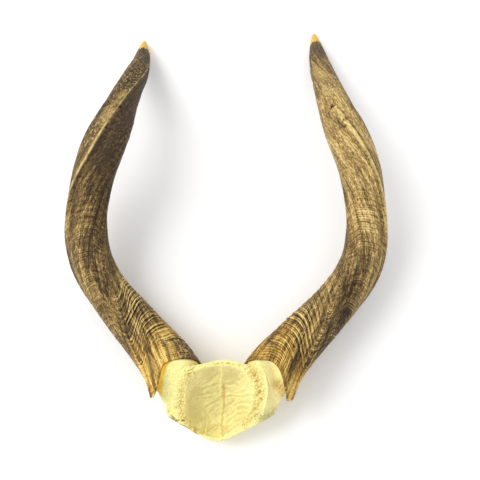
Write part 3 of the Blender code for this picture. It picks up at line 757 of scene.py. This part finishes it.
def horn_places(axis):
    """Grown distance of each row, closer where the rings are and at the tip."""
    ringed = np.arange(0.0, RINGED_REACH, RINGED_STEP)
    plain = np.arange(RINGED_REACH, PLAIN_REACH, PLAIN_STEP)
    share = np.sin(np.linspace(0.0, 0.5 * np.pi, TIP_ROWS + 1))[:-1]
    tip = PLAIN_REACH + (axis.length - PLAIN_REACH) * share
    return np.concatenate((ringed, plain, tip))


def add_object(name, data):
    made = bpy.data.objects.new(name, data)
    bpy.context.scene.collection.objects.link(made)
    return made


def closed_mesh(name, rows, last, flipped):
    """Quads between rings of equal count, and a fan to a point at each end."""
    count, sides = rows.shape[:2]
    row, side = np.meshgrid(np.arange(count - 1), np.arange(sides), indexing="ij")
    near = row * sides
    far = near + sides
    after = (side + 1) % sides
    corners = (near + side, near + after, far + after, far + side)
    faces = np.stack(corners, axis=-1).reshape(-1, 4).tolist()
    first = count * sides
    top = first - sides
    for k in range(sides):
        following = (k + 1) % sides
        faces.append([first, following, k])
        faces.append([first + 1, top + k, top + following])
    if flipped:
        faces = [face[::-1] for face in faces]
    points = np.concatenate((rows.reshape(-1, 3), rows[0].mean(axis=0)[None], last[None]))
    data = bpy.data.meshes.new(name)
    data.from_pydata(points.tolist(), [], faces)
    data.shade_smooth()
    return data


def store(data, name, values):
    """Values as a point attribute of a mesh, as one number or three for each point."""
    kind = "FLOAT" if values.ndim == 1 else "FLOAT_VECTOR"
    layer = data.attributes.new(name, kind, "POINT")
    field = "value" if values.ndim == 1 else "vector"
    layer.data.foreach_set(field, values.astype(np.float32).ravel())


def make_horn(side, material):
    """One horn from its socket to its tip, as one closed mesh."""
    axis = Axis(side)
    grown, turn, distance = grown_grid(axis, horn_places(axis))
    relief, grain, lines, marks = horn_relief(axis, grown, turn, distance)
    outside = place_on_axis(axis, distance, turn, horn_radius(axis, distance, turn) + relief)

    # The socket, from its floor out to the thin rim.
    share = np.linspace(1.0, 0.0, SOCKET_ROWS)
    _, turn_in, distance_in = grown_grid(axis, SOCKET_DEPTH * share)
    wall = np.interp(share, *WALL_STEPS)
    radius_in = horn_radius(axis, distance_in, turn_in) - wall[:, None]
    inside = place_on_axis(axis, distance_in, turn_in, radius_in)

    point, _ = axis.at(np.array([axis.length]))
    rows = np.concatenate((inside, outside))
    data = closed_mesh(f"horn_{side}", rows, point[0], side == "right")

    lead = SOCKET_ROWS * HORN_SIDES
    for name, values in marks.items():
        ends = (np.zeros(lead), values.ravel(), np.array([0.0, values[-1].mean()]))
        store(data, name, np.concatenate(ends))
    tail = np.array([[0.0, 0.0, 0.0], [0.0, 0.0, axis.length / MM]])
    for name, values in (("grain", grain), ("lines", lines)):
        inner = np.tile(values[0], (SOCKET_ROWS, 1))
        store(data, name, np.concatenate((inner, values.reshape(-1, 3), tail)))
    data.materials.append(material)
    horn = add_object(f"horn_{side}_dressed", data)
    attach(horn, "root")
    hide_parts(*[f"horn_{side}_{part}" for part in ("base", "bow", "upper", "tip")])


def line_gap(plan, line):
    """Each point's distance from a line, and how far it lies to the line's right."""
    nearest = np.full(plan.shape[:-1], np.inf)
    past = np.zeros(plan.shape[:-1])
    for start, end in zip(line[:-1], line[1:]):
        along = np.array(end) - start
        share = np.clip((plan - start) @ along / (along @ along), 0.0, 1.0)
        away = plan - start - share[..., None] * along
        gap = np.linalg.norm(away, axis=-1)
        side = np.sign(away[..., 0] * along[1] - away[..., 1] * along[0])
        past = np.where(gap < nearest, gap * side, past)
        nearest = np.minimum(nearest, gap)
    return nearest, past


def past_line(plan, line):
    return line_gap(plan, line)[1]


def stroke(plan, line, width):
    """1 on a line through points of a plan, fading over a width to each side."""
    return np.exp(-((line_gap(plan, line)[0] / width) ** 2))


def strokes(plan, lines, width):
    """The strongest of the strokes along several lines."""
    return np.max([stroke(plan, line, width) for line in lines], axis=0)


def line_point(line, share):
    """The point at a share of the way along a line."""
    line = np.array(line)
    run = np.concatenate(([0.0], np.cumsum(np.linalg.norm(np.diff(line, axis=0), axis=1))))
    at = share * run[-1]
    return np.array([np.interp(at, run, line[:, 0]), np.interp(at, run, line[:, 1])])


def edge_radius(points, angles):
    """Distance from the bowl's centre to an edge, smooth and closed, at each angle."""
    offsets = np.array(points) - np.array(BOWL_CENTRE)
    at = np.arctan2(offsets[:, 1], offsets[:, 0])
    size = np.hypot(offsets[:, 0], offsets[:, 1])
    order = np.argsort(at)
    at = at[order]
    size = size[order]
    rows = list(zip(at - 2 * np.pi, size)) + list(zip(at, size)) + list(zip(at + 2 * np.pi, size))
    return read_table(rows, angles)


def cut_height(y):
    return CUT_LOW_POINT[1] + CUT_SLOPE * (y - CUT_LOW_POINT[0])


def forehead_height(x, y):
    rise = FOREHEAD_RISE_ACROSS * x**2 + FOREHEAD_RISE_ALONG * y**2
    return np.maximum(rise - FOREHEAD_FLAT, 0.0)


def bowl_edges(angles):
    """Distances from the centre to the outline, the cut's edge and the cavity's edge."""
    outline = edge_radius(BOWL_OUTLINE, angles)
    cut_edge = np.minimum(edge_radius(CUT_EDGE, angles), outline - EDGE_MARGIN)
    cavity = np.minimum(edge_radius(CAVITY_EDGE, angles), cut_edge - EDGE_MARGIN)
    return outline, cut_edge, cavity


def cavity_depth(x, y):
    """How far the brain cavity's floor is below the saw cut."""
    angles = np.arctan2(y - BOWL_CENTRE[1], x - BOWL_CENTRE[0])
    share = np.hypot(x - BOWL_CENTRE[0], y - BOWL_CENTRE[1]) / bowl_edges(angles)[2]
    steep = read_table(CAVITY_PROFILE, share)
    gentle = read_table(CAVITY_PROFILE_RIGHT, share)
    return CAVITY_DEPTH * (steep + (gentle - steep) * ease(np.cos(angles), -0.2, 0.7))


def bowl_object():
    """The plain bowl, ring by ring from the cavity's floor over the cut to the forehead."""
    angles = np.arange(BOWL_SIDES) * 2.0 * np.pi / BOWL_SIDES
    outline, cut_edge, cavity = bowl_edges(angles)
    rows = []

    def add_row(radius, height):
        x = BOWL_CENTRE[0] + radius * np.cos(angles)
        y = BOWL_CENTRE[1] + radius * np.sin(angles)
        rows.append(np.stack((x, y, height(x, y)), axis=1))

    for share in np.linspace(0.02, 1.0, CAVITY_RINGS):
        add_row(cavity * share, lambda x, y: cut_height(y) - cavity_depth(x, y))
    for share in np.linspace(0.0, 1.0, CUT_RINGS + 1)[1:]:
        add_row(cavity + (cut_edge - cavity) * share, lambda x, y: cut_height(y))

    width = (outline - cut_edge - EDGE_MARGIN) / (outline.max() - cut_edge.min())
    fall = np.minimum(SIDE_FALL, EDGE_MARGIN + 4.0 * SIDE_FALL * np.maximum(width, 0.0))
    edge_z = cut_height(BOWL_CENTRE[1] + outline * np.sin(angles)) - fall
    for share in np.linspace(0.0, 1.0, SIDE_RINGS + 1)[1:]:
        add_row(cut_edge + (outline - cut_edge) * share, lambda x, y: cut_height(y) - fall * share)
    for share in np.linspace(0.995, 0.02, FOREHEAD_RINGS):
        kept = read_table(FOREHEAD_EDGE, np.array([share]))[0]
        add_row(
            outline * share,
            lambda x, y: forehead_height(x, y) + kept * (edge_z - forehead_height(x, y)),
        )
    return closed_mesh("bowl", np.array(rows), rows[-1].mean(axis=0), True)


def trim_to_bowl(points):
    """Bone above the saw cut or in the cavity is gone, and at the temple it falls away."""
    x = points[..., 0]
    y = points[..., 1]
    plan = points[..., :2]
    fall = np.clip(FOSSA_SLOPE * past_line(plan, CUT_RIDGE), 0.0, FOSSA_DEPTH) * (x > 0.0)
    fall += np.clip(BED_SLOPE * past_line(plan, SHEATH_BED), 0.0, BED_DEPTH) * (x < 0.0)
    points[..., 2] = np.minimum(points[..., 2], cut_height(y) - fall - cavity_depth(x, y))
    return points


def stub_inset(distance, drop):
    """How far the stub lies inside the sheath's outer face, along the tapered wall."""
    grown = distance + drop * rim_fade(distance)
    return np.interp(grown / SOCKET_DEPTH, *WALL_STEPS) + STUB_CLEARANCE


def stub_object(side):
    """The bone that enters one sheath, from inside the socket down into the bowl's wall."""
    axis = Axis(side)
    turn = np.arange(HORN_SIDES) * 360.0 / HORN_SIDES
    drop = rim_drop(side, turn)
    end = STUB_END - drop * rim_fade(STUB_END)
    mouth = STUB_MOUTH - np.minimum(drop, STUB_DROP)
    share = np.linspace(0.0, 1.0, STUB_SOCKET_ROWS)[:, None]
    distance = end + (mouth - end) * share
    spread_turn = np.broadcast_to(turn, distance.shape)
    radius = horn_radius(axis, distance, spread_turn) - stub_inset(distance, drop)
    inside = place_on_axis(axis, distance, spread_turn, radius)

    neck = mouth + STUB_NECK - STUB_MOUTH
    inset = stub_inset(neck, drop) + STUB_WAIST * bell(turn_between(turn), 0.0, STUB_WAIST_WIDTH)
    top = place_on_axis(axis, neck, turn, horn_radius(axis, neck, turn) - inset)
    root = np.array(STUB_ROOTS[side]) + STUB_ROOT_SCALE * (top - top.mean(axis=0))
    share = np.linspace(0.0, 1.0, STUB_ROWS)[:, None, None]
    outside = trim_to_bowl(top + (root - top) * share)

    rows = np.concatenate((inside, outside))[::-1]
    return closed_mesh(f"stub_{side}", rows, rows[-1].mean(axis=0), side == "right")


def fuse(meshes, voxel):
    """One closed skin round several meshes, as a mesh."""
    joined = bmesh.new()
    for data in meshes:
        joined.from_mesh(data)
        bpy.data.meshes.remove(data)
    data = bpy.data.meshes.new("fused")
    joined.to_mesh(data)
    joined.free()
    holder = add_object("fused", data)
    skin = holder.modifiers.new("skin", "REMESH")
    skin.mode = "VOXEL"
    skin.voxel_size = voxel
    skin.adaptivity = 0.0
    bpy.context.view_layer.update()
    evaluated = holder.evaluated_get(bpy.context.evaluated_depsgraph_get())
    done = bpy.data.meshes.new_from_object(evaluated)
    bpy.data.objects.remove(holder)
    bpy.data.meshes.remove(data)
    return done


def read_points(data):
    points = np.empty(len(data.vertices) * 3)
    data.vertices.foreach_get("co", points)
    normals = np.empty(len(data.vertices) * 3)
    data.vertex_normals.foreach_get("vector", normals)
    return points.reshape(-1, 3), normals.reshape(-1, 3)


def write_points(data, points):
    data.vertices.foreach_set("co", points.ravel())
    data.update()


def soften(data, points, weight, rounds):
    """Each point moves towards the middle of its neighbours, by its weight."""
    edges = np.empty(len(data.edges) * 2, dtype=np.int64)
    data.edges.foreach_get("vertices", edges)
    one, other = edges.reshape(-1, 2).T
    count = np.bincount(one, minlength=len(points)) + np.bincount(other, minlength=len(points))
    for _ in range(rounds):
        middle = np.empty_like(points)
        for k in range(3):
            total = np.bincount(one, points[other, k], len(points))
            total += np.bincount(other, points[one, k], len(points))
            middle[:, k] = total / count
        points = points + weight[:, None] * (middle - points)
    return points


def cap_places(points, normals):
    """Where each point of the cap is: below the cut, out in the cavity, past the cut, facing up."""
    x, y, z = points.T
    angles = np.arctan2(y - BOWL_CENTRE[1], x - BOWL_CENTRE[0])
    radius = np.hypot(x - BOWL_CENTRE[0], y - BOWL_CENTRE[1])
    _, cut_edge, cavity = bowl_edges(angles)
    up = ease(normals[:, 2], 0.1, 0.4)
    return cut_height(y) - z, radius / cavity, radius - cut_edge, up


def add_pits(plan, lift, mark, centres, sizes, depth):
    for centre, size in zip(centres, sizes):
        near = np.linalg.norm(plan - centre, axis=1) / size
        hollow = np.exp(-(near**2)) - 0.35 * np.exp(-(((near - 1.7) / 0.5) ** 2))
        lift -= depth * hollow
        mark[:] = np.maximum(mark, np.exp(-(near**2)))


def cap_relief(points, normals):
    """Height of the bone's surface detail, and the marks that the material reads."""
    below, share, _, up = cap_places(points, normals)
    plan = points[:, :2]
    fine = points / MM
    cavity = up * ease(below, 0.0003, 0.0016) * (1.0 - ease(share, 1.0, 1.1))
    cut = up * (1.0 - ease(below, 0.0006, 0.0016))
    under = ease(-normals[:, 2], 0.0, 0.3)
    bed = ease(past_line(plan, SHEATH_BED), -0.0001, 0.0007) * (plan[:, 0] < -0.030)
    bed *= ease(plan[:, 1], 0.010, 0.015) * (1.0 - under)

    lift = np.zeros(len(points))
    wander = 0.0010 * fractal(fine / 3.5, 91, 2)
    wandered = plan + np.stack((wander, -0.6 * wander), axis=1)
    midline = stroke(wandered, MIDLINE, MIDLINE_WIDTH)
    lift += MIDLINE_HEIGHT * midline * (cavity + 0.2 * cut)
    # Fold crests and the midline ridge are painted lighter as a painted highlight, and the furrows
    # beside them darker as painted shade.
    crest = strokes(wandered, FOLDS, FOLD_WIDTH)
    furrow_and_shade = 0.8 * strokes(wandered - FURROW_SHIFT, FOLDS, FOLD_WIDTH)
    furrow_and_shade = np.maximum(furrow_and_shade, 0.55 * stroke(wandered, MIDLINE_SHADE, MIDLINE_SHADE_WIDTH))
    lift += cavity * (FOLD_HEIGHT * crest - FURROW_DEPTH * furrow_and_shade)
    # Fine wrinkles, whose troughs are also painted darker as painted shade.
    along = plan @ WRINKLE_ALONG
    across = plan @ (-WRINKLE_ALONG[1], WRINKLE_ALONG[0])
    ripple = np.stack((along / WRINKLE_LENGTH, across / WRINKLE_PITCH, 0 * along), axis=-1)
    ripple += 1.2 * noise(fine / 5.0, 95)[:, None]
    wrinkle_and_shade = 1.0 - 2.2 * np.abs(noise(ripple, 97))
    lift += cavity * WRINKLE_HEIGHT * wrinkle_and_shade
    # Painted shade in the cavity's hollows.
    hollow = np.zeros(len(points))
    for centre, reach in PAINTED_SHADE_HOLLOWS:
        gap = np.linalg.norm((plan - centre) / reach, axis=1) + 0.25 * noise(fine / 4.0, 99)
        hollow = np.maximum(hollow, 1.0 - ease(gap, 0.6, 1.25))
    lift += cavity * 0.00040 * fractal(fine / (9.0, 7.0, 9.0), 101, 2)
    lift += cut * 0.00030 * fractal(fine / 1.5, 111, 2)
    lift += (1.0 - cavity) * (1.0 - cut) * 0.00030 * fractal(fine / 4.0, 121, 3)

    rng = np.random.default_rng(7)
    pore = np.zeros(len(points))
    spongy = np.zeros(len(points))
    pits = np.zeros(len(points))
    for line, width, count in SPONGY_BANDS:
        spongy = np.maximum(spongy, stroke(plan, line, width))
        centres = [
            line_point(line, rng.uniform()) + rng.normal(0.0, 0.45 * width, 2) for _ in range(count)
        ]
        add_pits(plan, pits, pore, centres, rng.uniform(*PORE_REACH, count), PORE_DEPTH)
    speck = np.zeros(len(points))
    add_pits(plan, pits, speck, SPECKS, np.full(len(SPECKS), SPECK_REACH), SPECK_DEPTH)
    speck *= np.clip(0.45 + 1.5 * fractal(fine / 1.5, 139, 2), 0.0, 1.0)
    lift += np.clip(pits, -0.0012, 0.0004) * np.maximum(cut, 0.6 * cavity)
    lift += 0.00035 * spongy * cut * fractal(fine / 1.6, 131, 2)

    loops = strokes(wandered, LOOPS, LOOP_WIDTH)
    moat = strokes(wandered, LOOPS, LOOP_MOAT_WIDTH) - loops
    lift += LOOP_HEIGHT * (loops - moat) * up
    lift += CUT_RIDGE_HEIGHT * stroke(plan, CUT_RIDGE, CUT_RIDGE_WIDTH) * up
    slit = strokes(wandered, SLITS, SLIT_WIDTH) * up * ease(-below, -0.004, -0.002)
    slit *= np.clip(0.75 + 0.9 * noise(fine / 2.4, 137), 0.0, 1.0)
    lift -= SLIT_DEPTH * slit
    # A dark, slightly sunken line along the lower left outer edge.
    edge_darkening = stroke(wandered, DARK_EDGE_LINE, 0.0012) * (1.0 - under)
    edge_darkening *= np.clip(0.55 + 1.3 * fractal(fine / 2.6, 143, 2), 0.0, 1.0)
    lift -= 0.0006 * edge_darkening
    rough = stroke(plan, ROUGH_EDGE, 0.0050) * up
    lift += 0.0007 * rough * fractal(fine / 2.2, 141, 3)
    temple_stain = stroke(plan, TEMPLE_STAIN, 0.0042) * up
    lift += 0.0005 * temple_stain * fractal(fine / 1.8, 151, 3)

    # The forehead's middle suture, its two small holes and their shallow grooves.
    nowhere = 0 * plan[:, 0]
    wander = 0.0011 * fractal(np.stack((nowhere, plan[:, 1] / 0.0022, nowhere), -1), 161, 3)
    suture = bell(plan[:, 0] - MIDLINE[0][0], wander, SUTURE_WIDTH) * under
    lift -= SUTURE_DEPTH * suture
    hole = np.zeros(len(points))
    for way in OUTWARD.values():
        centre = (MIDLINE[0][0] + way * HOLE_PLACE[0], HOLE_PLACE[1])
        near = np.linalg.norm(plan - centre, axis=1)
        hole = np.maximum(hole, bell(near, 0.0, HOLE_REACH) * under)
        groove = (centre, (centre[0] - way * GROOVE_TURN, GROOVE_END))
        lift -= GROOVE_DEPTH * stroke(plan, groove, HOLE_REACH) * under
    lift -= HOLE_DEPTH * hole

    midline_stain = stroke(wandered, MIDLINE_STAIN, MIDLINE_STAIN_WIDTH)
    marks = {
        "pore": pore * np.maximum(cut, 0.5 * cavity),
        "speck": speck * up,
        "spongy": np.maximum(spongy, 1.6 * moat) * (1.0 - loops) * np.maximum(cut, 0.6 * cavity),
        "cut": cut,
        "cavity": cavity,
        # The next four marks are painted light: painted shade in the hollows, furrows and wrinkle
        # troughs, and a painted highlight on the fold crests.
        "hollow": hollow * cavity,
        "painted_crest_highlight": np.clip(midline + 0.8 * crest, 0.0, 1.0) * cavity,
        "furrow_and_shade": furrow_and_shade * cavity,
        "wrinkle_and_shade": -wrinkle_and_shade * cavity,
        "stain": bed,
        "ochre": np.clip(1.1 * temple_stain + midline_stain, 0.0, 1.0) * up,
        "edge_darkening": edge_darkening,
        "rough": rough,
        # Painted shade in the slits and the forehead's holes, and the suture's dark line.
        "dark_and_shade": np.clip(slit + hole + 0.5 * suture, 0.0, 1.0),
        "grain": fine,
    }
    return lift, marks


def make_cap(material):
    """The sawn bowl of bone with its two stubs, as one closed mesh."""
    data = fuse([bowl_object(), stub_object("left"), stub_object("right")], CAP_VOXEL)
    points, normals = read_points(data)

    # The bone by the horns is rounded off, and the saw cut stays flat and crisp.
    below, _, past_cut, up = cap_places(points, normals)
    beside = ease(past_cut, 0.0005, 0.004) * ease(below, 0.0004, 0.0015)
    write_points(data, soften(data, points, 0.15 + 0.5 * np.maximum(beside, 1.0 - up), 14))
    points, normals = read_points(data)
    lift, marks = cap_relief(points, normals)
    points = points + lift[:, None] * normals
    points[:, 2] = np.maximum(points[:, 2], 0.0)
    write_points(data, points)
    for name, values in marks.items():
        store(data, name, values)
    data.shade_smooth()
    data.materials.clear()
    data.materials.append(material)
    data.name = "skull_cap_dressed"
    cap = add_object("skull_cap_dressed", data)
    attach(cap, "root")
    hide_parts("skull_cap")


class Graph:
    """A material's nodes, added one call at a time."""

    def __init__(self, name):
        self.material = bpy.data.materials.new(name)
        self.material.use_nodes = True
        self.tree = self.material.node_tree
        self.shader = self.tree.nodes["Principled BSDF"]

    def add(self, kind, inputs=None, **settings):
        made = self.tree.nodes.new(kind)
        for name, value in settings.items():
            setattr(made, name, value)
        for key, value in (inputs or {}).items():
            self.put(made.inputs[key], value)
        return made

    def put(self, socket, value):
        if isinstance(value, bpy.types.NodeSocket):
            self.tree.links.new(value, socket)
        else:
            socket.default_value = value

    def mark(self, name):
        return self.add("ShaderNodeAttribute", attribute_name=name)

    def number(self, name):
        return self.mark(name).outputs["Fac"]

    def math(self, operation, a, b=0.0, c=0.0, clamp=False):
        made = self.add("ShaderNodeMath", {0: a, 1: b, 2: c}, operation=operation)
        made.use_clamp = clamp
        return made.outputs[0]

    def stretch(self, vector, scale):
        return self.add(
            "ShaderNodeVectorMath", {0: vector, 1: scale}, operation="MULTIPLY"
        ).outputs[0]

    def linear(self, value, slope, start):
        return self.math("MULTIPLY_ADD", value, slope, start)

    def noise(self, vector, scale, detail, roughness):
        inputs = {"Vector": vector, "Scale": scale, "Detail": detail, "Roughness": roughness}
        return self.add("ShaderNodeTexNoise", inputs).outputs["Fac"]

    def ramp(self, value, stops):
        made = self.add("ShaderNodeValToRGB", {"Fac": value})
        line = made.color_ramp
        while len(line.elements) < len(stops):
            line.elements.new(0.5)
        for element, (place, colour) in zip(line.elements, stops):
            element.position = place
            element.color = (*colour, 1.0)
        return made.outputs["Color"]

    def mix(self, share, low, high):
        made = self.add("ShaderNodeMix", data_type="RGBA")
        self.put(made.inputs["Factor"], share)
        self.put(made.inputs[6], self.colour(low))
        self.put(made.inputs[7], self.colour(high))
        return made.outputs[2]

    def colour(self, value):
        return (*value, 1.0) if isinstance(value, tuple) else value

    def paint(self, colour, layers):
        """Colours laid over one another, by a mark, the pattern that breaks it up and a share."""
        for mark, pattern, most, over in layers:
            mark = self.number(mark) if isinstance(mark, str) else mark
            share = self.math("MULTIPLY", mark, pattern, clamp=True)
            colour = self.mix(self.math("MULTIPLY", share, most), colour, over)
        return colour

    def surface(self, colour, roughness, height, strength, distance, gleam):
        """The material, with a bump of a strength and a distance."""
        bump = {"Height": height, "Strength": strength, "Distance": distance}
        inputs = {
            "Base Color": colour,
            "Roughness": roughness,
            "Normal": self.add("ShaderNodeBump", bump).outputs["Normal"],
            "Specular IOR Level": gleam,
        }
        for name, value in inputs.items():
            self.put(self.shader.inputs[name], value)
        return self.material


HORN_STOPS = (
    (0.00, (0.018, 0.010, 0.004)),
    (0.28, (0.074, 0.043, 0.013)),
    (0.52, (0.197, 0.122, 0.038)),
    (0.76, (0.425, 0.280, 0.088)),
    (1.00, (0.780, 0.580, 0.240)),
)
GOLD_STOPS = (
    (0.00, (0.030, 0.016, 0.005)),
    (0.28, (0.150, 0.084, 0.018)),
    (0.52, (0.430, 0.240, 0.042)),
    (0.76, (0.700, 0.420, 0.080)),
    (1.00, (0.900, 0.660, 0.200)),
)
# Colour of the painted shade on the face beside the left horn's front keel.
PAINTED_SHADE = (0.066, 0.041, 0.022)
KEEL = (0.92, 0.71, 0.28)
TAN = (0.60, 0.42, 0.15)
IVORY = (0.74, 0.45, 0.085)
CHAR = (0.050, 0.041, 0.033)
CREVICE = (0.016, 0.011, 0.007)


def horn_material():
    g = Graph("horn_dressed")
    grain = g.mark("grain").outputs["Vector"]
    lines = g.mark("lines").outputs["Vector"]
    clumpy = g.number("clumpy")
    fine = g.noise(g.stretch(grain, (1.0, 1.0, 0.24)), 1.30, 4.0, 0.70)
    streak = g.noise(g.stretch(grain, (1.0, 1.0, 0.07)), 0.34, 3.0, 0.55)
    cross = g.noise(g.stretch(lines, (0.09, 0.09, 1.0)), 0.45, 3.0, 0.6)
    cross = g.math("MULTIPLY", g.math("SUBTRACT", cross, 0.5), g.number("woven"))
    clump = g.noise(g.stretch(grain, (1.0, 1.0, 0.6)), 0.50, 3.0, 0.6)
    clump = g.math("MULTIPLY", g.math("SUBTRACT", clump, 0.5), clumpy)
    blotch = g.noise(g.stretch(grain, (1.0, 1.0, 0.5)), 0.055, 3.0, 0.55)

    tone = g.linear(fine, 2.10, -0.91)
    for pattern, strength in (
        (g.math("SUBTRACT", streak, 0.5), g.linear(clumpy, -0.90, 1.40)),
        (clump, 2.2),
        (cross, 0.90),
        (blotch, 0.60),
        (g.number("ring"), 0.54),
        (g.number("tone"), 1.0),
    ):
        tone = g.math("MULTIPLY_ADD", pattern, strength, tone)
    gilt = g.ramp(g.math("MULTIPLY_ADD", g.number("gold"), 0.16, tone), GOLD_STOPS)
    layers = (
        ("gold", g.linear(streak, 1.6, 0.05), 1.0, gilt),
        # Painted shade on the face beside the left horn's front keel.
        ("painted_shade", 1.0, 1.0, PAINTED_SHADE),
        ("flaky", g.linear(fine, 3.0, -1.0), 1.0, TAN),
        ("char", g.linear(fine, -3.2, 2.05), 1.0, CHAR),
        ("worn", g.linear(fine, 2.4, -0.30), 1.0, KEEL),
        # Dark streaks and cracks, and the painted shade in the chips.
        ("dark_and_shade", 1.0, 1.0, CREVICE),
        ("ivory", 1.0, 1.0, IVORY),
    )
    colour = g.paint(g.ramp(tone, HORN_STOPS), layers)
    height = g.math("MULTIPLY_ADD", fine, 1.0, g.math("MULTIPLY", cross, 0.5))
    return g.surface(colour, g.linear(fine, -0.25, 0.74), height, 0.9, 0.0012, 0.25)


BONE_CUT = (0.940, 0.920, 0.375)
BONE_CAVITY = (0.915, 0.825, 0.370)
# Colour of the cavity's cloudy darker patches and of the painted shade in its hollows.
BONE_CLOUD_AND_SHADE = (0.730, 0.645, 0.265)
BONE_SIDE = (0.900, 0.800, 0.345)
BONE_OCHRE = (0.620, 0.340, 0.050)
BONE_STAIN = (1.000, 0.590, 0.050)
# Colour of the painted shade in the cavity's furrows and wrinkle troughs.
BONE_PAINTED_SHADE = (0.620, 0.510, 0.210)
BONE_GREY = (0.330, 0.290, 0.130)
BONE_EDGE_DARK = (0.240, 0.140, 0.035)
BONE_DARK = (0.105, 0.064, 0.020)


def bone_material():
    g = Graph("bone_dressed")
    grain = g.mark("grain").outputs["Vector"]
    cloud = g.noise(grain, 0.09, 3.0, 0.55)
    mottle = g.noise(grain, 0.45, 4.0, 0.6)
    speckle = g.noise(grain, 0.95, 3.0, 0.65)
    # Cloudy darker patches over the cavity, and painted shade in its hollows.
    cloud_and_shade = g.math("MULTIPLY", g.number("cavity"), g.linear(cloud, 2.2, -0.95), clamp=True)
    cloud_and_shade = g.math("MULTIPLY_ADD", g.number("hollow"), 0.75, cloud_and_shade, clamp=True)
    layers = (
        ("cut", 1.0, 1.0, BONE_CUT),
        ("cavity", 1.0, 1.0, BONE_CAVITY),
        (cloud_and_shade, 1.0, 1.0, BONE_CLOUD_AND_SHADE),
        # Painted shade in the wrinkle troughs and furrows, and a painted highlight on the fold crests.
        ("wrinkle_and_shade", 0.40, 1.0, BONE_PAINTED_SHADE),
        ("furrow_and_shade", 0.75, 1.0, BONE_PAINTED_SHADE),
        ("painted_crest_highlight", 0.60, 1.0, BONE_CUT),
        (0.34, g.linear(mottle, 2.6, -1.15), 1.0, BONE_OCHRE),
        ("cut", g.linear(speckle, 5.5, -2.85), 0.80, BONE_OCHRE),
        ("spongy", g.linear(speckle, 3.0, -1.25), 0.85, BONE_OCHRE),
        ("pore", g.linear(mottle, 1.5, -0.25), 1.0, BONE_OCHRE),
        ("speck", 0.95, 1.0, BONE_OCHRE),
        ("ochre", g.linear(speckle, 3.2, -1.05), 1.0, BONE_OCHRE),
        ("rough", g.linear(mottle, 2.0, -0.45), 1.0, BONE_GREY),
        ("edge_darkening", 0.85, 1.0, BONE_EDGE_DARK),
        ("stain", 1.0, 1.0, BONE_STAIN),
        # Painted shade in the slits and holes, and the dark line of the suture.
        ("dark_and_shade", 1.0, 1.0, BONE_DARK),
    )
    height = g.math("MULTIPLY_ADD", speckle, 0.8, mottle)
    colour = g.paint(BONE_SIDE, layers)
    return g.surface(colour, g.linear(mottle, 0.2, 0.52), height, 0.8, 0.0007, 0.3)


def add_camera():
    data = bpy.data.cameras.new("camera")
    data.lens = 46.5
    data.sensor_width = 36.0
    camera = add_object("camera", data)
    camera.location = (0.015, -0.035, 0.6648)
    camera.rotation_euler = (np.radians(18.5), 0.0, 0.0)
    bpy.context.scene.camera = camera


def add_sun(name, direction, strength, spread):
    """Light that comes from a direction, given as a vector from the object to the sun."""
    data = bpy.data.lights.new(name, "SUN")
    data.energy = strength
    data.angle = np.radians(spread)
    sun = add_object(name, data)
    sun.rotation_euler = Vector(direction).to_track_quat("Z", "Y").to_euler()


def add_studio():
    g = Graph("floor")
    g.shader.inputs["Base Color"].default_value = (0.93, 0.93, 0.93, 1.0)
    g.shader.inputs["Roughness"].default_value = 0.9
    bpy.ops.mesh.primitive_plane_add(size=8.0, location=(0.0, 0.2, -0.0002))
    floor = bpy.context.object
    floor.name = "floor"
    floor.data.materials.append(g.material)

    world = bpy.data.worlds.new("studio")
    world.use_nodes = True
    light = world.node_tree.nodes["Background"].inputs
    light["Color"].default_value = (1.0, 1.0, 1.0, 1.0)
    light["Strength"].default_value = 0.92
    bpy.context.scene.world = world
    add_sun("key", (-0.95, 0.35, 0.95), 1.85, 40.0)
    bpy.context.scene.view_settings.view_transform = "Standard"


def main():
    add_camera()
    add_studio()
    make_cap(bone_material())
    horn = horn_material()
    for side in HORN_AXES:
        make_horn(side, horn)


main()
